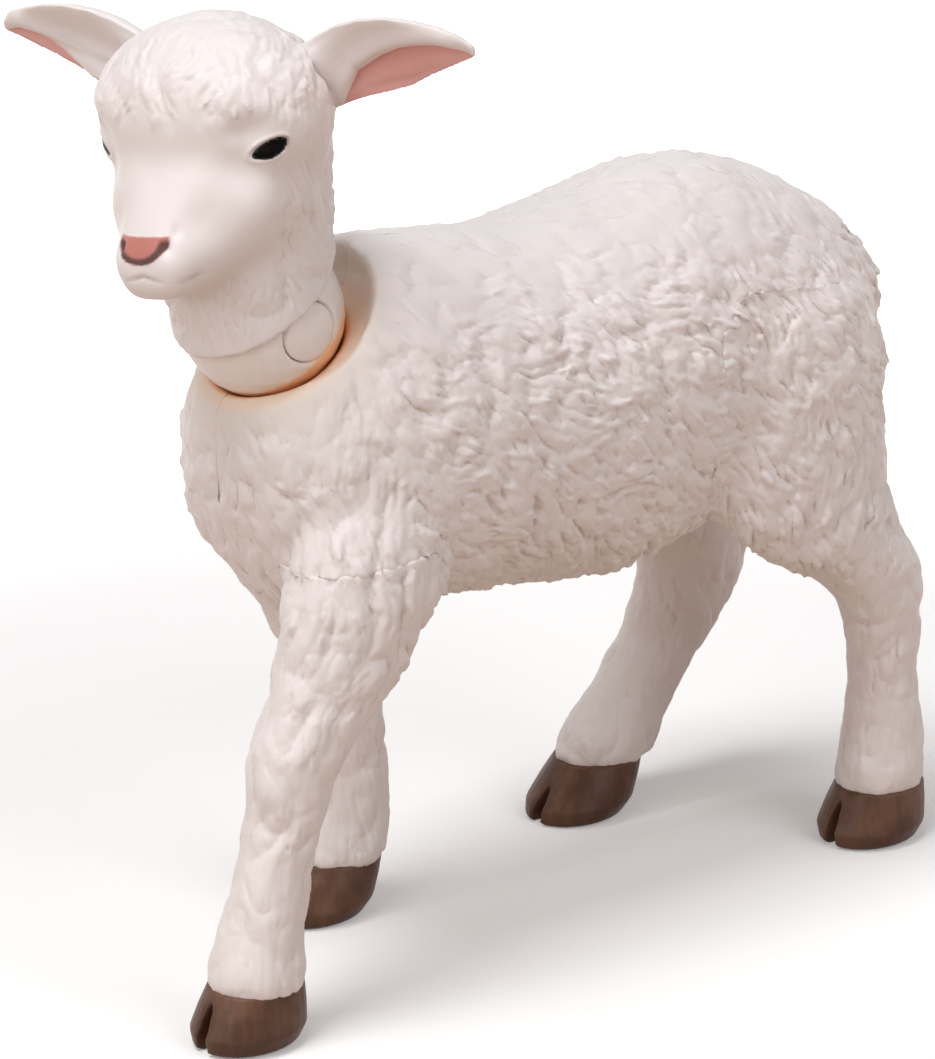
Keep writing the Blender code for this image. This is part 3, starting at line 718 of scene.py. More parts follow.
class Skin:
    """A fine closed mesh that is shaped with numpy."""

    # What carve uses: a step along the flow, the waves of its noise, the height where a dab is cut off,
    # the height that is level with the skin, and how far the normals are evened out
    STEP_MM = 0.24
    WAVES = 48
    MOST_HEIGHT = 1.6
    LEVEL_HEIGHT = 0.8
    EVEN_STEPS = 6

    def __init__(self, obj: bpy.types.Object) -> None:
        """Takes over a mesh object."""
        self.obj = obj

    @classmethod
    def of_nodes(cls, frame: dict, name: str, *nodes: str) -> "Skin":
        """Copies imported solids.

        Args:
            frame: the loaded frame.
            name: the new piece's name.
            nodes: the solids' names.

        Returns:
            The copy, with its doubles merged.
        """
        bm = bmesh.new()
        for node in nodes:
            bm.from_mesh(frame["nodes"][node].data)
        bmesh.ops.remove_doubles(bm, verts=bm.verts, dist=1e-6)
        bmesh.ops.recalc_face_normals(bm, faces=bm.faces)
        return cls(in_scene(name, mesh_of(bm, name)))

    def modify(self, kind: str, **settings: str | float) -> "Skin":
        """Turns the result of a modifier into plain mesh.

        Args:
            kind: the modifier's type.
            settings: its properties.

        Returns:
            The skin.
        """
        made = self.obj.modifiers.new(kind.title(), kind)
        for key, value in settings.items():
            setattr(made, key, value)
        old = self.obj.data
        self.obj.data = baked(self.obj)
        bpy.data.meshes.remove(old)
        return self

    def remesh(self, voxel_mm: float) -> "Skin":
        """Rebuilds the skin on a fine grid."""
        return self.modify("REMESH", mode="VOXEL", voxel_size=voxel_mm / MM)

    def smooth(self, steps: int, factor: float = 0.5) -> "Skin":
        """Evens the skin out."""
        return self.modify("SMOOTH", iterations=steps, factor=factor)

    def thin(self, triangles: int) -> "Skin":
        """Brings the skin under a number of triangles."""
        ratio = triangles / self.triangles
        return self.modify("DECIMATE", ratio=ratio) if ratio < 1 else self

    @property
    def triangles(self) -> int:
        """The number of triangles."""
        return len(self.obj.data.loops) - 2 * len(self.obj.data.polygons)

    def push(self, distance_mm: np.ndarray | float) -> "Skin":
        """Moves the points along their normals."""
        self.points = self.points + self.normals * np.reshape(distance_mm, (-1, 1)) / MM
        return self

    @staticmethod
    def _vectors(rows: bpy.types.bpy_prop_collection, key: str) -> np.ndarray:
        """Reads three numbers a row.

        Args:
            rows: the mesh's rows.
            key: the name of what is read.

        Returns:
            The numbers.
        """
        found = np.empty(len(rows) * 3, np.float32)
        rows.foreach_get(key, found)
        return found.reshape(-1, 3).astype(np.float64)

    @property
    def points(self) -> np.ndarray:
        """The points, in metres."""
        return self._vectors(self.obj.data.vertices, "co")

    @points.setter
    def points(self, places: np.ndarray) -> None:
        """Moves the points."""
        self.obj.data.vertices.foreach_set("co", places.astype(np.float32).ravel())
        self.obj.data.update()

    @property
    def normals(self) -> np.ndarray:
        """The points' normals."""
        return self._vectors(self.obj.data.vertex_normals, "vector")

    def write(self, name: str, values: np.ndarray) -> None:
        """Stores numbers or vectors on the points.

        Args:
            name: the attribute's name.
            values: a number or a vector for each point.
        """
        kind, key = ("FLOAT_VECTOR", "vector") if values.ndim == 2 else ("FLOAT", "value")
        made = self.obj.data.attributes.new(name, kind, "POINT")
        made.data.foreach_set(key, values.astype(np.float32).ravel())

    def mean_of_neighbours(self, values: np.ndarray, steps: int) -> np.ndarray:
        """Blurs values over the mesh.

        Args:
            values: one row for each point.
            steps: how often to blur.

        Returns:
            The blurred values.
        """
        edges = self.obj.data.edges
        pairs = np.empty(len(edges) * 2, np.int32)
        edges.foreach_get("vertices", pairs)
        start, end = pairs.reshape(-1, 2).T
        count = np.bincount(pairs, minlength=len(values)).astype(np.float64)
        columns = values.reshape(len(values), -1).copy()
        for _ in range(steps):
            total = [
                np.bincount(start, column[end], len(values)) + np.bincount(end, column[start], len(values))
                for column in columns.T
            ]
            columns = 0.5 * columns + 0.5 * np.stack(total, axis=1) / np.maximum(count, 1)[:, None]
        return columns.reshape(values.shape)

    def strokes(self, ways: tuple[np.ndarray, np.ndarray], layer: Layer, seed: int) -> np.ndarray:
        """Noise drawn out along the flow, which goes on from one piece to the next.

        Args:
            ways: the next point up and down the flow, for each point.
            layer: the size of the strokes.
            seed: seed of the noise.

        Returns:
            A value for each point, with mean 0 and spread 1.
        """
        random = np.random.default_rng(seed)
        waves = unit(random.normal(size=(self.WAVES, 3))) * (math.tau / layer.size_mm)
        waves *= random.uniform(0.6, 1.4, (self.WAVES, 1))
        phases = random.uniform(0, math.tau, self.WAVES)
        noise = np.sin(self.points * MM @ waves.T + phases).sum(1)
        total = noise.copy()
        for way in ways:
            place = np.arange(len(noise))
            for _ in range(layer.far):
                place = way[place]
                total += noise[place]
        total = self.mean_of_neighbours(total, 1)
        return total / total.std()

    def carve(self, flow: np.ndarray, layers: tuple[Layer, ...], seed: int) -> "Skin":
        """Cuts the surface into long low dabs with fine creases between them.

        Args:
            flow: the way that the dabs run.
            layers: the sizes of dabs.
            seed: seed of the pattern.

        Returns:
            The skin.
        """
        flow = along_skin(flow, self.mean_of_neighbours(self.normals, self.EVEN_STEPS))
        points = self.points
        ways = tuple(nearest_rows(points, points + way * (self.STEP_MM / MM)) for way in (flow, -flow))
        total = np.zeros(len(flow))
        for i, layer in enumerate(layers):
            strokes = np.abs(self.strokes(ways, layer, seed + i))
            height = np.minimum(strokes, self.MOST_HEIGHT) ** layer.power
            total += (height - self.LEVEL_HEIGHT) * layer.amount_mm
        return self.push(total)

    def write_cavity(self, depth_mm: float, steps: int = 10) -> None:
        """Stores how far each point lies below its neighbourhood, from 0 to 1, which the materials darken as
        painted shade.

        Args:
            depth_mm: the depth that counts as 1.
            steps: how wide the neighbourhood is.
        """
        points = self.points
        below = ((self.mean_of_neighbours(points, steps) - points) * self.normals).sum(1) * MM
        self.write("cavity", np.clip(below / depth_mm, 0, 1))


@dataclass
class LockShape:
    """A teardrop lock of moulded wool, one unit long, lying along +X with its root at the origin."""

    rings: int = 7
    sides: int = 6
    width: float = 0.27
    height: float = 0.15
    wave: float = 0.07
    waves: float = 4.2
    fat_root: float = 0.12
    fat_run: float = 0.86
    fat_power: float = 0.75
    lift_root: float = 0.10
    lift: float = 0.34
    lift_power: float = 0.8

    def build(self, curl: Curl) -> bpy.types.Object:
        """Builds one lock.

        Args:
            curl: the way that it waves.

        Returns:
            An unlinked object.
        """
        bm = bmesh.new()
        rows = [self.ring(bm, i / (self.rings - 1), curl) for i in range(self.rings)]
        for low, high in zip(rows, rows[1:]):
            for k in range(self.sides):
                after = (k + 1) % self.sides
                bm.faces.new((low[k], low[after], high[after], high[k]))
        bm.faces.new(rows[0][::-1])
        bm.faces.new(rows[-1])
        bmesh.ops.recalc_face_normals(bm, faces=bm.faces)
        mesh = mesh_of(bm, "lock_" + curl.name.lower())
        return bpy.data.objects.new(mesh.name, mesh)

    def ring(self, bm: bmesh.types.BMesh, along: float, curl: Curl) -> list[bmesh.types.BMVert]:
        """Adds one ring of points.

        Args:
            bm: the lock's bmesh.
            along: the ring's place, from 0 at the root to 1 at the tip.
            curl: the way that the lock waves.

        Returns:
            The ring's points.
        """
        fat = math.sin(math.pi * min(1.0, self.fat_root + self.fat_run * along)) ** self.fat_power
        bend = curl.value * self.wave * math.sin(along * self.waves)
        lift = self.height * (self.lift_root + self.lift * math.sin(math.pi * along**self.lift_power))
        row = []
        for k in range(self.sides):
            angle = math.tau * k / self.sides
            across = bend + self.width / 2 * fat * math.cos(angle)
            up = lift - self.height / 3 + self.height / 2 * fat * math.sin(angle)
            row.append(bm.verts.new((along, across, up)))
        return row


class LockTree(Graph):
    """The Geometry Nodes tree that lays locks of wool on a skin."""

    INPUTS = {
        "Spacing": "NodeSocketFloat",
        "Length": "NodeSocketFloat",
        "Spread": "NodeSocketFloat",
        "Seed": "NodeSocketInt",
        "Material": "NodeSocketMaterial",
    }
    MOST_DENSITY = 9.0e6
    LEAST_SCALE = (0.72, 0.75, 0.65)
    MOST_SCALE = (1.30, 1.30, 1.25)

    def __init__(self, locks: bpy.types.Collection) -> None:
        """Builds the tree for a collection of lock shapes.

        Args:
            locks: the lock shapes.
        """
        super().__init__(bpy.data.node_groups.new("wool_locks", "GeometryNodeTree"))
        sides = self.tree.interface
        sides.new_socket("Skin", in_out="INPUT", socket_type="NodeSocketGeometry")
        self.sockets = {
            name: sides.new_socket(name, in_out="INPUT", socket_type=kind).identifier
            for name, kind in self.INPUTS.items()
        }
        sides.new_socket("Locks", in_out="OUTPUT", socket_type="NodeSocketGeometry")
        self.given = self.node("NodeGroupInput").outputs
        self._link(locks)

    def _link(self, locks: bpy.types.Collection) -> None:
        """Adds the nodes from the skin to the locks.

        Args:
            locks: the lock shapes.
        """
        given = self.given
        inputs = {
            "Mesh": given["Skin"],
            "Distance Min": given["Spacing"],
            "Density Max": self.MOST_DENSITY,
            "Density Factor": self._stored("cover"),
            "Seed": given["Seed"],
        }
        spread = self.node(
            "GeometryNodeDistributePointsOnFaces", {"distribute_method": "POISSON"}, inputs
        ).outputs
        inputs = {"Collection": locks, "Separate Children": True, "Reset Children": True}
        shapes = self.add("GeometryNodeCollectionInfo", None, inputs)
        inputs = {4: 0, 5: len(locks.objects) - 1, "Seed": 9}
        inputs = {
            "Points": spread["Points"],
            "Instance": shapes,
            "Pick Instance": True,
            "Instance Index": self.add("FunctionNodeRandomValue", {"data_type": "INT"}, inputs, 2),
            "Rotation": self._rotation(spread["Rotation"]),
            "Scale": self._scale(),
        }
        placed = self.add("GeometryNodeInstanceOnPoints", None, inputs)
        real = self.add("GeometryNodeRealizeInstances", None, {0: placed})
        clad = self.add("GeometryNodeSetMaterial", None, {"Geometry": real, "Material": given["Material"]})
        self.node("NodeGroupOutput", None, {0: clad})

    def _stored(self, name: str, kind: str = "FLOAT") -> Tone:
        """What is stored on the skin under that name."""
        return self.add("GeometryNodeInputNamedAttribute", {"data_type": kind}, {"Name": name}, "Attribute")

    def _rotation(self, upright: bpy.types.NodeSocket) -> Tone:
        """Lays the locks along the flow, each turned a little at random.

        Args:
            upright: the rotation that stands a lock on the skin.

        Returns:
            The rotation.
        """
        inputs = {"Rotation": upright, "Vector": self._stored("flow", "FLOAT_VECTOR")}
        settings = {"axis": "X", "pivot_axis": "Z"}
        lain = self.add("FunctionNodeAlignRotationToVector", settings, inputs, "Rotation")
        most = Tone(self, self.given["Spread"])
        inputs = {2: most * -1.0, 3: most, "Seed": 3}
        yaw = self.add("FunctionNodeRandomValue", {"data_type": "FLOAT"}, inputs, 1)
        angles = self.add("ShaderNodeCombineXYZ", None, {"Z": yaw})
        turn = self.add("FunctionNodeEulerToRotation", None, {0: angles})
        return self.add("FunctionNodeRotateRotation", {"rotation_space": "LOCAL"}, {0: lain, 1: turn})

    def _scale(self) -> Tone:
        """The locks' size.

        Returns:
            The length times the stored size, a little different on each axis.
        """
        inputs = {0: self.LEAST_SCALE, 1: self.MOST_SCALE, "Seed": 5}
        vary = self.add("FunctionNodeRandomValue", {"data_type": "FLOAT_VECTOR"}, inputs, 0)
        sized = Tone(self, self.given["Length"]) * self._stored("size")
        return self.vector("SCALE", {0: vary, "Scale": sized})

    def lay(self, skin: Skin, settings: dict) -> bpy.types.Mesh:
        """Lays locks on a skin.

        Args:
            skin: the skin, with its cover, size and flow stored.
            settings: input name to value.

        Returns:
            The locks alone, as a plain mesh.
        """
        made = skin.obj.modifiers.new("Locks", "NODES")
        made.node_group = self.tree
        for name, value in settings.items():
            made[self.sockets[name]] = value
        return baked(skin.obj)


@dataclass
class Coat:
    """Lays wool over a moulding and fuses it in."""

    frame: dict
    tree: LockTree
    fine_mm: float = 0.155
    spacing_mm: float = 1.05
    length_mm: float = 1.9
    spread: float = math.radians(28)
    inset_mm: float = 0.10
    cavity_mm: float = 0.12
    seed: int = 11
    most_triangles: int = 188_000
    reach: float = 0.0010
    seam_band_mm: tuple[float, float] = (0.80, 0.42)
    wall_mm: float = 0.75
    wall_fade_mm: float = 0.30
    solids: dict[str, BVHTree] = field(default_factory=dict)

    NEIGHBOURS = ("body", "foreleg", "hindleg", "hoof")

    def solid(self, node: str) -> BVHTree:
        """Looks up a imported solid's surface.

        Args:
            node: the solid's name.

        Returns:
            Its search tree.
        """
        if node not in self.solids:
            self.solids[node] = surface_tree(self.frame["nodes"][node].data)
        return self.solids[node]

    def meet_neighbours(
        self, skin: Skin, node: str, gap_mm: float, part: float = 0.5, stems: tuple[str, ...] = NEIGHBOURS
    ) -> np.ndarray:
        """Draws the edges of a piece up to its neighbours, so that the seams are fine lines.

        Args:
            skin: the bare skin.
            node: the solid that it stands for.
            gap_mm: how much of the seam is left on this side, less than 0 for an overlap.
            part: the part of the seam that this piece covers.
            stems: the first words of the neighbours' names.

        Returns:
            Each point's distance from the nearest neighbour in mm before the move, or 9 where it is far.
        """
        points = skin.points
        found = np.full(len(points), 9.0)
        toward = np.zeros_like(points)
        for other in self.frame["nodes"]:
            if other == node or other.split("_")[0] not in stems:
                continue
            tree = self.solid(other)
            for i, place in enumerate(points):
                hit, _, _, distance = tree.find_nearest(place, self.reach)
                if hit is not None and distance * MM < found[i]:
                    found[i] = distance * MM
                    toward[i] = (hit - Vector(place)) / max(distance, 1e-9)
        step = np.maximum(found * part - gap_mm, 0) * smoothstep(found, *self.seam_band_mm)
        skin.points = points + toward * (step / MM)[:, None]
        return found

    def level(self, skin: Skin, near_seam: np.ndarray, shroud: BVHTree) -> np.ndarray:
        """Lifts the rounded edges at the seams to the even surface that spans them.

        Args:
            skin: the bare skin.
            near_seam: whether each point is near a neighbour.
            shroud: the surface that spans the seams.

        Returns:
            1 for points on the outside, falling to 0 for those on hidden walls.
        """
        points = skin.points
        shares = np.zeros(len(points))
        for i, row in enumerate(points):
            place = Vector(row)
            hit, normal, _, distance = shroud.find_nearest(place, self.reach)
            if hit is None:
                continue
            depth_mm = math.copysign(distance * MM, (hit - place).dot(normal))
            shares[i] = min(max((self.wall_mm - depth_mm) / self.wall_fade_mm, 0.0), 1.0)
            if near_seam[i]:
                points[i] = place.lerp(hit, shares[i])
        skin.points = points
        return shares

    def grow(self, skin: Skin, cover: np.ndarray, size: np.ndarray, flow: np.ndarray, name: str) -> Skin:
        """Adds the locks.

        Args:
            skin: the bare skin.
            cover: how densely the wool stands, from 0 to 1.
            size: the locks' share of the full length.
            flow: the way that the locks lie.
            name: the piece's name.

        Returns:
            The woolly skin.
        """
        skin.push(-self.inset_mm * cover * size)
        skin.write("cover", cover)
        skin.write("size", size)
        skin.write("flow", along_skin(flow, skin.normals))
        settings = {
            "Spacing": self.spacing_mm / MM,
            "Length": self.length_mm / MM,
            "Spread": self.spread,
            "Seed": self.seed,
        }
        mesh = self.tree.lay(skin, settings)
        LOG.info("%s has %d faces of locks", name, len(mesh.polygons))
        bm = bmesh.new()
        bm.from_mesh(skin.obj.data)
        bm.from_mesh(mesh)
        skin.obj.data = mesh_of(bm, name)
        return skin.remesh(self.fine_mm).smooth(1, 0.4)


def finish_piece(
    skin: Skin, material: bpy.types.Material, body: str, slot: str, *nodes: str
) -> bpy.types.Object:
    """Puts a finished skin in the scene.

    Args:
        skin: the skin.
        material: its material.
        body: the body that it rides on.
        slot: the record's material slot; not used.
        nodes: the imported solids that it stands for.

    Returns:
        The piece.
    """
    obj = skin.obj
    obj.data.materials.clear()
    obj.data.materials.append(material)
    obj.data.shade_smooth()
    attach(obj, body)
    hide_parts(*nodes)
    LOG.info("%s: %d triangles", obj.name, skin.triangles)
    return obj


@dataclass
class Torso:
    """The two halves of the body and the four legs, all woolly.

    The wool's cover, size, relief and flow are soft steps over a point's place from the toy's middle on
    the floor, in mm: x to its left, y to its rear and z up.
    """

    frame: dict
    coat: Coat
    finish: WoolFinish = WoolFinish("fleece")
    grid_mm: float = 0.28
    smoothing: int = 9
    shroud_grid_mm: float = 0.30
    shroud_out_mm: float = 0.26
    seam_reach_mm: float = 0.95
    bare_seam_mm: tuple[float, float] = (0.30, 0.36)
    bare_edge: tuple[float, float] = (0.93, 0.975)
    seam_half: float = 0.00001
    hooves_top: float = 0.008
    leg_end_mm: float = 5.4
    flare_band_mm: tuple[float, float] = (7.0, 4.6)
    sink: float = 0.65
    pinch_mm: float = 0.65
    pinch_band_mm: tuple[float, float] = (4.05, 3.45)
    bowl_mm: float = 5.46
    bowl_band_mm: tuple[float, float] = (6.5, 5.9)

    def build(self) -> None:
        """Builds every woolly piece of the body."""
        shroud = self.shroud()
        for stem in Stem:
            for side in Side:
                self.piece(stem, side, shroud)

    def shroud(self) -> BVHTree:
        """The even surface that spans the seams between the body's pieces.

        Returns:
            Its search tree.
        """
        nodes = (stem.node(side) for stem in Stem for side in Side)
        skin = Skin.of_nodes(self.frame, "shroud", *nodes)
        skin.remesh(self.shroud_grid_mm).push(self.shroud_out_mm)
        skin.remesh(self.shroud_grid_mm).push(-self.shroud_out_mm).smooth(self.smoothing)
        mesh = skin.obj.data
        tree = surface_tree(mesh)
        bpy.data.objects.remove(skin.obj)
        bpy.data.meshes.remove(mesh)
        return tree

    def piece(self, stem: Stem, side: Side, shroud: BVHTree) -> bpy.types.Object:
        """Dresses one moulding.

        Args:
            stem: its kind.
            side: its side.
            shroud: the surface that spans the seams.

        Returns:
            The woolly piece.
        """
        node, (gap_mm, flare_mm) = stem.node(side), stem.value
        name = node + "_wool"
        skin = Skin.of_nodes(self.frame, name, node).remesh(self.grid_mm).smooth(self.smoothing)
        reach = self.coat.meet_neighbours(skin, node, gap_mm)
        near_seam = (reach < self.seam_reach_mm) & (skin.points[:, 2] > self.hooves_top)
        outside = self.coat.level(skin, near_seam, shroud)
        if stem is Stem.BODY:
            self.close_bowl(skin)
        else:
            self.seat_on_hoof(skin, flare_mm)
        bare = skin.points
        local = toy_local(bare)
        even = np.linalg.norm(skin.mean_of_neighbours(skin.normals, 8), axis=1)
        cover = self.cover(local) * smoothstep(reach, *self.bare_seam_mm) * outside**4
        cover = cover * smoothstep(even, *self.bare_edge)
        skin = self.coat.grow(skin, cover, self.size(local), self.flow(local, skin.normals), name)
        nearest = nearest_rows(bare, skin.points)
        local = toy_local(skin.points)
        wool = self.relief(local) * smoothstep(reach[nearest], 0.0, 0.25) * outside[nearest]
        layers = (
            Layer(4.2, 4, wool * 0.15, 1.0),
            Layer(2.0, 4, wool * 0.12),
            Layer(0.90, 4, wool * 0.105 * self.fine(local), 0.7),
        )
        skin.carve(self.flow(local, skin.normals), layers, self.coat.seed)
        if stem is Stem.BODY:
            self.trim(skin, side)
        skin.thin(self.coat.most_triangles)
        skin.write("wool", self.relief(toy_local(skin.points)))
        skin.write_cavity(self.coat.cavity_mm)
        return finish_piece(skin, self.finish.material(), "body", "fleece", node)

    def seat_on_hoof(self, skin: Skin, flare_mm: float) -> None:
        """Flares the end of a leg over its hoof and sinks it in, so that no gap shows between them.

        Args:
            skin: the bare skin.
            flare_mm: how far the end stands out.
        """
        points = skin.points
        low = points[:, 2] * MM
        away = points - points[low < 6.0].mean(0)
        away[:, 2] = 0
        sunk = low - np.maximum(self.leg_end_mm - low, 0) * self.sink
        flare = flare_mm * smoothstep(low, *self.flare_band_mm)
        flare = flare - self.pinch_mm * smoothstep(sunk, *self.pinch_band_mm)
        points += unit(away) * (flare / MM)[:, None]
        points[:, 2] = sunk / MM
        skin.points = points

    def close_bowl(self, skin: Skin) -> None:
        """Draws the bowl's wall and lip in to a fine gap round the ball where they are close to it.

        Args:
            skin: the bare skin.
        """
        away = skin.points - np.array(BALL_CENTRE)
        distance = np.linalg.norm(away, axis=1) * MM
        share = smoothstep(distance, *self.bowl_band_mm)
        wanted = distance + (np.minimum(distance, self.bowl_mm) - distance) * share
        skin.points = np.array(BALL_CENTRE) + away * (wanted / distance)[:, None]

    def trim(self, skin: Skin, side: Side) -> None:
        """Keeps the wool of one half on its own side of the seam.

        Args:
            skin: the woolly skin.
            side: its side.
        """
        points = skin.points
        inner = np.maximum if side is Side.LEFT else np.minimum
        points[:, 0] = inner(points[:, 0], MIDLINE_SHIFT.x + side.value * self.seam_half)
        skin.points = points

    @staticmethod
    def from_ball(local: np.ndarray) -> np.ndarray:
        """Distance from the neck ball's centre in mm."""
        return np.linalg.norm(local - np.array(BALL_MM), axis=1)

    @staticmethod
    def patches(local: np.ndarray) -> np.ndarray:
        """Soft patches, in which the wool stands thicker and thinner.

        Args:
            local: places from the toy's middle.

        Returns:
            Values from 0 to 1.
        """
        x, y, z = local.T
        waves = np.sin(1.1 * y + 0.7 * z + 0.4 * x) + np.sin(-0.8 * y + 1.3 * z + 2.1)
        waves += np.sin(1.9 * y - 0.5 * z + 0.9 * x + 0.6) + np.sin(0.6 * y + 2.1 * z - 0.7 * x + 4.0)
        return smoothstep(waves, -2.0, 2.0)

    def cover(self, local: np.ndarray) -> np.ndarray:
        """How densely the wool stands.

        Args:
            local: places from the toy's middle.

        Returns:
            Values from 0 to 1.
        """
        _, y, z = local.T
        outside_bowl = smoothstep(self.from_ball(local), 7.0, 8.6)
        legs = 0.08 + 0.92 * smoothstep(z, 18.0, 27.0)
        chest = 1 - 0.60 * smoothstep(y, -8.0, -15.0) * smoothstep(z, 42.0, 34.0)
        withers = 1 - 0.65 * smoothstep(z, 43.0, 47.0) * smoothstep(y, 8.0, 0.0)
        return outside_bowl * legs * chest * withers * (0.15 + 0.85 * self.patches(local))

    @staticmethod
    def fine(local: np.ndarray) -> np.ndarray:
        """How high the small dabs stand: full on the flanks, lower on the legs, chest and back.

        Args:
            local: places from the toy's middle.

        Returns:
            Shares of the full height.
        """
        _, y, z = local.T
        legs = 0.75 + 0.25 * smoothstep(z, 17.0, 27.0)
        chest = 1 - 0.30 * smoothstep(y, -8.0, -15.0)
        back = 1 - 0.50 * smoothstep(z, 43.0, 47.0)
        return legs * chest * back

    def relief(self, local: np.ndarray) -> np.ndarray:
        """The strength of the carved dabs.

        Args:
            local: places from the toy's middle.

        Returns:
            Shares of the layers' height.
        """
        z = local[:, 2]
        outside_bowl = smoothstep(self.from_ball(local), 6.4, 8.4)
        legs = 0.85 + 0.35 * smoothstep(z, 16.0, 26.0) + 0.30 * np.exp(-(((z - 15.0) / 3.5) ** 2))
        back = 1 - 0.45 * smoothstep(z, 42.0, 47.0)
        return outside_bowl * legs * back * (0.55 + 0.45 * self.patches(local))

    @staticmethod
    def size(local: np.ndarray) -> np.ndarray:
        """The locks' size.

        Args:
            local: places from the toy's middle.

        Returns:
            Shares of the full length.
        """
        _, y, z = local.T
        back = 1 - 0.35 * smoothstep(z, 42.0, 48.0)
        legs = 0.45 + 0.55 * smoothstep(z, 17.0, 27.0)
        shoulder = 1 - 0.30 * smoothstep(z, 38.0, 44.0) * smoothstep(y, -4.0, -10.0)
        chest = 1 - 0.30 * smoothstep(y, -10.0, -16.0)
        return back * legs * shoulder * chest

    @staticmethod
    def flow(local: np.ndarray, normals: np.ndarray) -> np.ndarray:
        """The way that the locks lie, before it is laid on the skin.

        Args:
            local: places from the toy's middle.
            normals: the skin's normals there.

        Returns:
            Directions, mostly back on the body and down on the legs.
        """
        x, y, z = local.T
        low = smoothstep(z, 33.0, 24.0)
        chest = smoothstep(y, -9.0, -15.0)
        rump = smoothstep(y, 14.0, 20.0)
        back = 0.85 - 0.55 * low - 0.65 * chest - 0.40 * rump
        down = -0.62 - 0.35 * low - 0.35 * chest - 0.30 * rump
        swirl = 0.26 * np.sin(0.55 * y + 0.35 * z) + 0.22 * np.sin(0.9 * z - 0.7 * y + 1.7)
        legs = smoothstep(z, 22.0, 17.0)
        swirl = swirl * (1 - 0.7 * legs)
        back, down = back * (1 - 0.6 * legs), down * (1 - legs) - legs
        flow = np.stack([0.25 * np.sign(x) * smoothstep(z, 44, 48), back, down], axis=1)
        return flow + np.cross(normals, flow) * swirl[:, None]


@dataclass(frozen=True)
class Brush:
    """A soft push on the face, mirrored across it."""

    centre_mm: Triple
    radius_mm: float
    amount_mm: float
    squash: Triple = (1.0, 1.0, 1.0)

    def use(self, skin: Skin) -> None:
        """Pushes the skin, most at the brush's centre."""
        away = (mirrored(head_local(skin.points)) - np.array(self.centre_mm)) / np.array(self.squash)
        skin.push(np.exp(-((np.linalg.norm(away, axis=1) / self.radius_mm) ** 2)) * self.amount_mm)


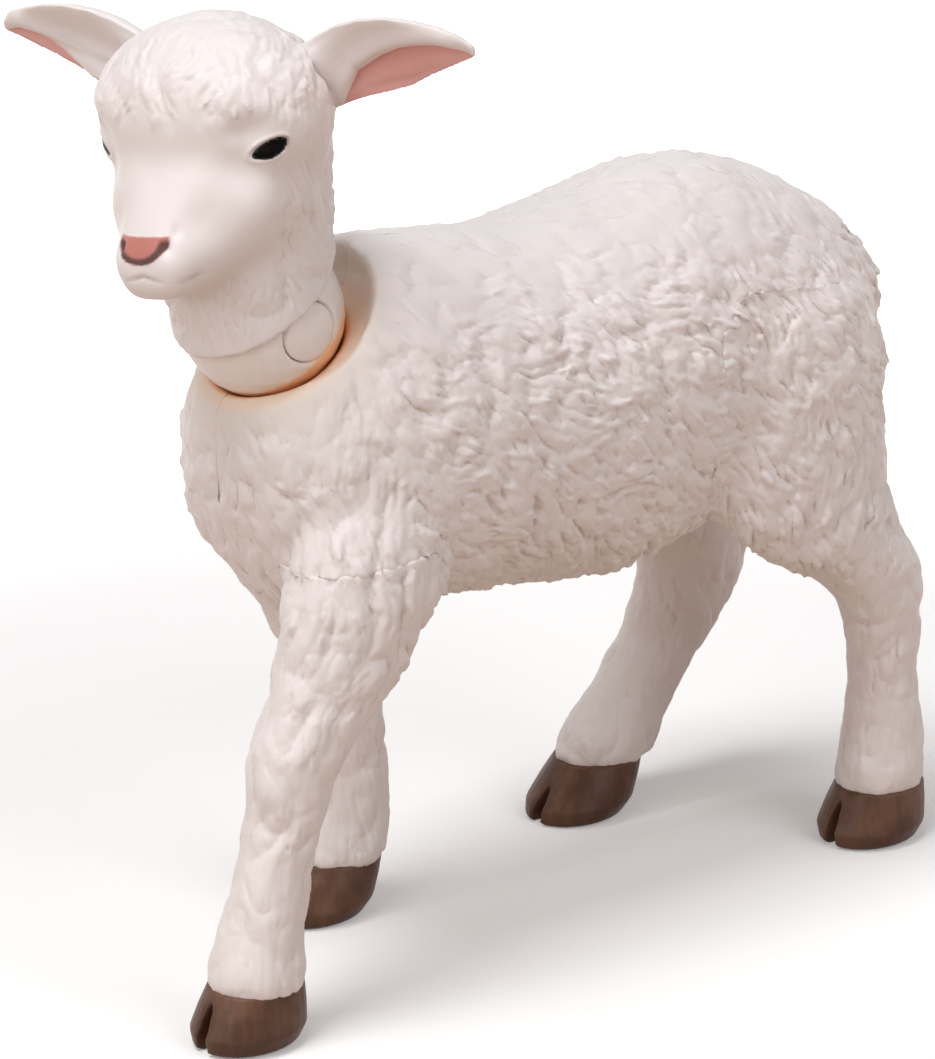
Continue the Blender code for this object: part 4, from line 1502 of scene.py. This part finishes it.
@dataclass
class Face:
    """The lamb's face, shaped and painted in the head's own place, in mm from the ball."""

    eye_mm: Triple = (6.35, -5.42, 11.93)
    eye_tilt: float = math.radians(33)
    eye_back_mm: float = 0.98
    eye_front_mm: float = 0.78
    eye_half_height_mm: float = 0.60
    eye_round: float = 1.7
    beside_nose_mm: float = 3.6
    lid_mm: float = 0.07
    socket_mm: float = 0.06
    nose_x_mm: float = -0.2
    nose_z_mm: float = 7.15
    nose_half_width_mm: float = 1.95
    nose_drop_mm: float = 1.42
    nose_height_mm: float = 0.07
    rim_depth_mm: float = 0.04
    mouth_width_mm: float = 0.16
    mouth_depth_mm: float = 0.10
    forms: tuple[Brush, ...] = (
        Brush((5.4, -6.9, 10.8), 1.5, -0.40),
        Brush((5.6, -6.6, 13.3), 1.3, -0.38, (1.0, 1.3, 0.7)),
        Brush((6.4, -5.6, 11.8), 1.0, 0.28, (1.0, 1.2, 0.8)),
        Brush((4.6, -6.6, 15.0), 1.8, 0.30, (1.3, 1.0, 0.8)),
        Brush((5.2, -6.0, 8.2), 2.3, 0.30),
        Brush((3.0, -9.0, 8.1), 1.5, -0.35),
        Brush((1.8, -10.3, 5.6), 1.1, 0.20),
        Brush((1.4, -10.3, 3.9), 0.9, 0.10),
    )
    details: tuple[Brush, ...] = (
        Brush((1.75, -10.6, 6.85), 0.34, -0.30, (1.0, 1.0, 1.5)),
        Brush((2.1, -10.0, 7.7), 0.40, -0.16, (0.8, 1.0, 1.4)),
    )
    mouth_mm: tuple[Triple, ...] = (
        (0.0, -11.2, 5.00),
        (1.2, -10.95, 4.72),
        (2.3, -10.3, 4.60),
        (3.2, -9.2, 4.85),
    )

    def shape(self, skin: Skin) -> None:
        """Pushes the large forms into the skin."""
        for brush in self.forms:
            brush.use(skin)

    def detail(self, skin: Skin) -> None:
        """Pushes lids, nose, nostrils and mouth into the fine skin, and stores their paint.

        Args:
            skin: the woolly skin.
        """
        for brush in self.details:
            brush.use(skin)
        local = head_local(skin.points)
        eye = self.eye(local)
        nose, rim = self.nose(local)
        mouth = np.exp(-((self.from_mouth(local) / self.mouth_width_mm) ** 2))
        lid = np.exp(-(((eye - 1.40) / 0.25) ** 2)) * self.lid_mm
        lid = lid - smoothstep(eye, 1.15, 0.9) * self.socket_mm
        skin.push(lid + nose * self.nose_height_mm - rim * self.rim_depth_mm - mouth * self.mouth_depth_mm)
        above = smoothstep(local[:, 2], self.eye_mm[2] - 0.3, self.eye_mm[2] + 0.2)
        paint = {
            "eye": smoothstep(eye, 1.12, 0.88),
            "lid": smoothstep(eye, 1.50, 1.05) * above,
            "nose": nose,
            "nose_rim": rim,
            "mouth": mouth,
        }
        for name, values in paint.items():
            skin.write(name, values)

    def eye(self, local: np.ndarray) -> np.ndarray:
        """Distance from the eye's middle.

        Args:
            local: places in the head.

        Returns:
            Values that are 1 on the almond's edge.
        """
        back = local[:, 1] - self.eye_mm[1]
        high = local[:, 2] - self.eye_mm[2]
        along = back * math.cos(self.eye_tilt) + high * math.sin(self.eye_tilt)
        across = high * math.cos(self.eye_tilt) - back * math.sin(self.eye_tilt)
        ends = np.where(along > 0, self.eye_back_mm, self.eye_front_mm)
        almond = (along / ends) ** 2 + (np.abs(across) / self.eye_half_height_mm) ** self.eye_round
        return np.where(np.abs(local[:, 0]) > self.beside_nose_mm, almond, 9.0)

    def nose(self, local: np.ndarray) -> tuple[np.ndarray, np.ndarray]:
        """The pink pad and the dark rim round its lower edge.

        Args:
            local: places in the head.

        Returns:
            Two values from 0 to 1.
        """
        wide = local[:, 0] - self.nose_x_mm
        high = local[:, 2] - self.nose_z_mm
        round_low = np.hypot(wide / self.nose_half_width_mm, np.minimum(high, 0) / self.nose_drop_mm)
        inside = smoothstep(round_low, 1.04, 0.96) * smoothstep(high, 0.34, 0.20)
        inside *= smoothstep(local[:, 1], -9.0, -9.6)
        rim = smoothstep(round_low, 0.66, 0.80) * smoothstep(high, 0.20, -0.20)
        return inside, inside * rim

    def from_mouth(self, local: np.ndarray) -> np.ndarray:
        """Distance from the mouth's line.

        Args:
            local: places in the head.

        Returns:
            The distance in mm.
        """
        places = mirrored(local)
        nearest = np.full(len(local), 99.0)
        for start, end in zip(self.mouth_mm, self.mouth_mm[1:]):
            a, b = np.array(start), np.array(end)
            share = np.clip(((places - a) @ (b - a)) / ((b - a) @ (b - a)), 0, 1)
            away = places - a - share[:, None] * (b - a)
            nearest = np.minimum(nearest, np.linalg.norm(away, axis=1))
        return nearest


@dataclass
class Head:
    """Skull, face and neck with their wool, which is given in the head's own place in mm from the ball."""

    frame: dict
    coat: Coat
    face: Face = field(default_factory=Face)
    finish: HeadFinish = HeadFinish("head_fleece")
    grid_mm: float = 0.20
    smoothing: int = 14
    gap_mm: float = -0.06
    density: float = 0.6
    eye_edge: float = 0.75

    def build(self) -> bpy.types.Object:
        """Builds the head.

        Returns:
            The head.
        """
        skin = Skin.of_nodes(self.frame, "head_wool", "head").remesh(self.grid_mm).smooth(self.smoothing)
        self.face.shape(skin)
        self.coat.meet_neighbours(skin, "head", self.gap_mm, 1.0, ("ear",))
        local = head_local(skin.points)
        cover, flow = self.cover(local) * self.density, head_way(self.flow(local))
        skin = self.coat.grow(skin, cover, self.size(local), flow, "head_wool")
        local = head_local(skin.points)
        wool = self.relief(local)
        layers = (Layer(4.5, 3, wool * 0.20, 1.0), Layer(2.0, 4, wool * 0.12), Layer(0.9, 4, wool * 0.09))
        skin.carve(head_way(self.flow(local)), layers, self.coat.seed)
        self.face.detail(skin)
        skin.thin(self.coat.most_triangles)
        skin.write("wool", self.relief(head_local(skin.points)))
        skin.write_cavity(self.coat.cavity_mm)
        obj = finish_piece(skin, self.finish.material(), "head", "fleece", "head")
        obj.data.materials.append(EyeFinish("eye_black").material())
        eye = obj.data.attributes["eye"].data
        for face in obj.data.polygons:
            face.material_index = int(min(eye[i].value for i in face.vertices) > self.eye_edge)
        return obj

    @staticmethod
    def outside(local: np.ndarray, ball: tuple[float, float], skirt: tuple[float, float]) -> np.ndarray:
        """Keeps the wool off the ball's socket and the skirt's edge.

        Args:
            local: places in the head.
            ball: the distances from the ball's centre where the wool starts and is full.
            skirt: the same for the heights above the ball's centre, along the neck.

        Returns:
            Values from 0 to 1.
        """
        height = local @ np.array(NECK_AXIS)
        return smoothstep(np.linalg.norm(local, axis=1), *ball) * smoothstep(height, *skirt)

    def relief(self, local: np.ndarray) -> np.ndarray:
        """The strength of the carved dabs.

        Args:
            local: places in the head.

        Returns:
            Shares of the layers' height.
        """
        outside = self.outside(local, (5.6, 6.2), (1.2, 2.4))
        x, y, z = local.T
        ragged = 0.7 * np.sin(1.9 * x + 0.4) + 0.4 * np.sin(4.1 * x + 2.0)
        forehead = 0.75 * smoothstep(z + ragged, 13.6, 15.2) * (1 - 0.3 * smoothstep(z, 17.0, 19.0))
        cheek = 0.75 * smoothstep(y, -5.6, -4.2) * smoothstep(z, 12.5, 9.5)
        temple = 0.35 * smoothstep(y, -4.6, -3.0) * smoothstep(z, 9.5, 12.5)
        throat = 0.75 * smoothstep(z, 4.4, 3.2) * smoothstep(y, -7.2, -5.8)
        return outside * np.max([forehead, cheek, temple, throat], axis=0)

    def cover(self, local: np.ndarray) -> np.ndarray:
        """How densely the wool stands.

        Args:
            local: places in the head.

        Returns:
            Values from 0 to 1.
        """
        outside = self.outside(local, (5.5, 5.9), (1.6, 3.0))
        _, y, z = local.T
        forehead = 0.5 * smoothstep(z, 14.2, 15.6) * smoothstep(z, 19.0, 17.0)
        crown = 0.25 * smoothstep(z, 16.0, 18.0)
        cheek = smoothstep(y, -5.3, -3.9) * smoothstep(z, 12.5, 9.5)
        temple = 0.3 * smoothstep(y, -4.6, -3.0) * smoothstep(z, 9.5, 12.5)
        throat = smoothstep(z, 4.0, 3.0) * smoothstep(y, -7.0, -5.8)
        return outside * np.max([forehead, crown, cheek, temple, throat], axis=0)

    @staticmethod
    def size(local: np.ndarray) -> np.ndarray:
        """The locks' share of their full size."""
        near_edge = smoothstep(local @ np.array(NECK_AXIS), 1.4, 4.0)
        return (0.40 + 0.60 * near_edge) * (0.72 + 0.20 * smoothstep(local[:, 2], 11.0, 4.0))

    @staticmethod
    def flow(local: np.ndarray) -> np.ndarray:
        """The way that the locks lie.

        Args:
            local: places in the head.

        Returns:
            Directions, mostly down.
        """
        x, y, z = local.T
        top = smoothstep(z, 13.0, 17.0)
        ahead = -0.8 * top * smoothstep(y, 2.0, -2.0)
        swirl = 0.5 * np.sin(0.9 * z + 0.8 * x) + 0.4 * np.sin(1.3 * y - 0.6 * z)
        return np.stack([swirl, ahead + 0.3 * (1 - top), -1.0 + 0.3 * top], axis=1)


@dataclass
class Ears:
    """The two leaf-shaped ears, whose upper half rolls over a pink hollow.

    The rows of roll_edge are a share of the ear's length, and the drop of the roll's edge there in mm on
    the left and on the right ear.
    """

    frame: dict
    finish: EarFinish = EarFinish("ear_fleece")
    grid_mm: float = 0.075
    smoothing: int = 18
    cavity_mm: float = 0.2
    length_mm: float = 12.7
    back_mm: float = 0.2
    droop: float = math.radians(22)
    root_mm: Triple = (6.0, 0.1, 16.2)
    roll_mm: float = 0.75
    roll_height_mm: float = 0.50
    hollow_mm: float = 0.12
    rises_mm: tuple[tuple[Side, float], ...] = ((Side.LEFT, 0.8), (Side.RIGHT, 2.1))
    roll_edge: tuple[Triple, ...] = (
        (0.10, 3.2, 3.2),
        (0.24, 1.07, 3.5),
        (0.38, 0.36, 3.0),
        (0.52, -0.19, 2.2),
        (0.64, -0.45, 1.3),
        (0.80, -0.54, 0.3),
        (0.90, -0.24, -0.1),
        (1.00, 0.30, 0.2),
    )

    def build(self) -> None:
        """Builds both ears."""
        for side, rise in self.rises_mm:
            self.piece(side, rise)

    def axes(self, side: Side, rise: float) -> tuple[np.ndarray, np.ndarray, np.ndarray]:
        """Finds how an ear lies in the head.

        Args:
            side: which ear.
            rise: how far its tip stands above its root, in mm.

        Returns:
            The ways from root to tip, out of the hollow and down across the ear.
        """
        along = unit(np.array([[side.value * self.length_mm, self.back_mm, rise]]))[0]
        opening = np.array([0.0, -math.cos(self.droop), -math.sin(self.droop)])
        opening = unit((opening - along * (opening @ along))[None])[0]
        return along, opening, np.cross(along, opening) * side.value

    def piece(self, side: Side, rise: float) -> bpy.types.Object:
        """Builds one ear.

        Args:
            side: which ear.
            rise: how far its tip stands above its root, in mm.

        Returns:
            The ear.
        """
        node = "ear_" + side.name.lower()
        skin = Skin.of_nodes(self.frame, node + "_skin", node).remesh(self.grid_mm).smooth(self.smoothing)
        along, opening, down = self.axes(side, rise)
        local = head_local(skin.points) - np.array(self.root_mm) * np.array([side.value, 1, 1])
        share, drop = (local @ along) / self.length_mm, local @ down
        table = np.array(self.roll_edge)
        below = drop - np.interp(share, table[:, 0], table[:, 1 if side is Side.LEFT else 2])
        front = smoothstep(skin.normals @ head_way(opening[None])[0], 0.0, 0.45)
        ends = smoothstep(share, 0.02, 0.30) * smoothstep(share, 1.0, 0.86)
        roll = np.exp(-(((below + self.roll_mm) / self.roll_mm) ** 2)) * smoothstep(below, 0.12, -0.12)
        dent = smoothstep(below, -0.05, 0.35)
        skin.push((roll * self.roll_height_mm - dent * self.hollow_mm) * front * ends)
        skin.smooth(2)
        skin.write("hollow", smoothstep(below, -0.25, 0.25) * front * smoothstep(share, 0.04, 0.12))
        skin.write("wool", np.full(len(share), 0.5))
        skin.write_cavity(self.cavity_mm, 20)
        return finish_piece(skin, self.finish.material(), "head", "fleece", node)


@dataclass
class Hooves:
    """The four cloven hooves."""

    frame: dict
    finish: HoofFinish = HoofFinish("hoof_brown")
    grid_mm: float = 0.13
    smoothing: int = 5

    def build(self) -> None:
        """Builds the hooves."""
        for stem in (Stem.FORELEG, Stem.HINDLEG):
            for side in Side:
                node = "hoof_" + stem.node(side)
                skin = Skin.of_nodes(self.frame, node + "_horn", node)
                skin.remesh(self.grid_mm).smooth(self.smoothing)
                finish_piece(skin, self.finish.material(), "body", "hoof", node)


@dataclass(frozen=True)
class Cover:
    """A smooth skin over a solid: its grid, its rounds of smoothing, and how far it is then pushed out."""

    node: str
    grid_mm: float
    steps: int
    out_mm: float


@dataclass
class NeckJoint:
    """The smooth ball, its cross pin and the post inside."""

    frame: dict
    finish: JointFinish = JointFinish("joint_cream")
    covers: tuple[Cover, ...] = (Cover("neck_ball", 0.16, 3, 0.12), Cover("neck_pin", 0.12, 2, 0.14))

    def build(self) -> None:
        """Dresses the joint's pieces."""
        for cover in self.covers:
            skin = Skin.of_nodes(self.frame, cover.node + "_smooth", cover.node)
            skin.remesh(cover.grid_mm).smooth(cover.steps).push(cover.out_mm)
            finish_piece(skin, self.finish.material(), "neck", "joint", cover.node)
        post = self.frame["nodes"]["neck_post"]
        post.data.materials.clear()
        post.data.materials.append(self.finish.material())
        LOG.info("%s keeps its solid", post.name)


@dataclass(frozen=True)
class Lamp:
    """A square soft light: its place to the right of, nearer than and above the target, side and watts."""

    name: str
    right: float
    near: float
    up: float
    size: float
    power: float


@dataclass
class Studio:
    """Floor, soft lights and the camera."""

    azimuth: float = math.radians(50)
    elevation: float = math.radians(20)
    distance: float = 0.4
    target_mm: Triple = (0.0, 0.0, 27.5)
    lens_mm: float = 206.0
    sensor_mm: float = 36.0
    nearest: float = 0.01
    white: Triple = (1.0, 1.0, 1.0)
    ambient: Triple = (0.186, 0.166, 0.152)
    floor_size: float = 6.0
    floor_white: Triple = (0.86, 0.86, 0.87)
    floor_bounce: Triple = (0.50, 0.36, 0.27)
    near_glow: Triple = (0.20, 0.20, 0.20)
    lamps: tuple[Lamp, ...] = (
        Lamp("key", -0.34, 0.26, 1.30, 0.55, 10.6),
        Lamp("fill_left", -1.0, 1.0, 0.60, 0.90, 7.2),
        Lamp("fill_right", 0.90, 0.80, 0.90, 0.90, 5.8),
    )

    def build(self) -> None:
        """Builds the studio."""
        self.floor()
        self.world()
        for lamp in self.lamps:
            self.light(lamp)
        self.camera()

    def toward_camera(self) -> Vector:
        """The way from the target to the camera."""
        x, y = math.sin(self.azimuth), -math.cos(self.azimuth)
        return Vector((x * math.cos(self.elevation), y * math.cos(self.elevation), math.sin(self.elevation)))

    def target(self) -> Vector:
        """What the camera looks at."""
        return MIDLINE_SHIFT + Vector(self.target_mm) / MM

    def floor(self) -> None:
        """A wide pale floor, which glows white to the camera away from the toy and throws warm light up."""
        bm = bmesh.new()
        bmesh.ops.create_grid(bm, x_segments=1, y_segments=1, size=self.floor_size)
        floor = in_scene("floor", mesh_of(bm, "floor"))
        graph = Paint("floor_white")
        seen = graph.seen()
        away = graph.vector("LENGTH", {0: graph.place()}, "Value")
        glow = graph.mix(away.rise(0.060, 0.130), self.near_glow, self.white)
        inputs = {
            "Base Color": graph.mix(seen, self.floor_bounce, self.floor_white),
            "Roughness": 0.9,
            "Emission Color": graph.mix(seen, (0.0, 0.0, 0.0), glow),
            "Emission Strength": 1.0,
        }
        floor.data.materials.append(graph.finish(inputs))

    def world(self) -> None:
        """Even light from all round, white to the camera."""
        world = bpy.data.worlds.new("studio")
        bpy.context.scene.world = world
        world.use_nodes = True
        graph = Graph(world.node_tree)
        colour = graph.mix(graph.seen(), self.ambient, self.white)
        sky = graph.node("ShaderNodeBackground", None, {"Color": colour, "Strength": 1.0})
        graph.node("ShaderNodeOutputWorld", None, {"Surface": sky.outputs[0]})

    def light(self, lamp: Lamp) -> None:
        """Adds a lamp that shines on the target.

        Args:
            lamp: the lamp.
        """
        data = bpy.data.lights.new(lamp.name, "AREA")
        data.shape = "SQUARE"
        data.size = lamp.size
        data.energy = lamp.power
        right = Vector((math.cos(self.azimuth), math.sin(self.azimuth), 0))
        near = Vector((math.sin(self.azimuth), -math.cos(self.azimuth), 0))
        place = right * lamp.right + near * lamp.near + Vector((0, 0, lamp.up))
        light = in_scene(lamp.name, data)
        light.location = self.target() + place
        light.rotation_euler = (-place).to_track_quat("-Z", "Y").to_euler()

    def camera(self) -> None:
        """The camera at the picture's angle."""
        data = bpy.data.cameras.new("camera")
        data.sensor_fit = "VERTICAL"
        data.sensor_height = self.sensor_mm
        data.lens = self.lens_mm
        data.clip_start = self.nearest
        camera = in_scene("camera", data)
        camera.location = self.target() + self.toward_camera() * self.distance
        camera.rotation_euler = self.toward_camera().to_track_quat("Z", "Y").to_euler()
        bpy.context.scene.camera = camera
        bpy.context.scene.view_settings.view_transform = "Standard"


def main() -> None:
    """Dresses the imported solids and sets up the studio."""
    logging.basicConfig(level=logging.INFO, format="%(message)s")
    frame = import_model()
    locks = bpy.data.collections.new("lock_shapes")
    for curl in Curl:
        locks.objects.link(LockShape().build(curl))
    coat = Coat(frame, LockTree(locks))
    Torso(frame, coat).build()
    Head(frame, Coat(frame, coat.tree, fine_mm=0.13, spacing_mm=0.55, length_mm=1.35)).build()
    Ears(frame).build()
    Hooves(frame).build()
    NeckJoint(frame).build()
    for shape in list(locks.objects):
        bpy.data.objects.remove(shape)
    bpy.data.collections.remove(locks)
    Studio().build()


if __name__ == "__main__":
    main()
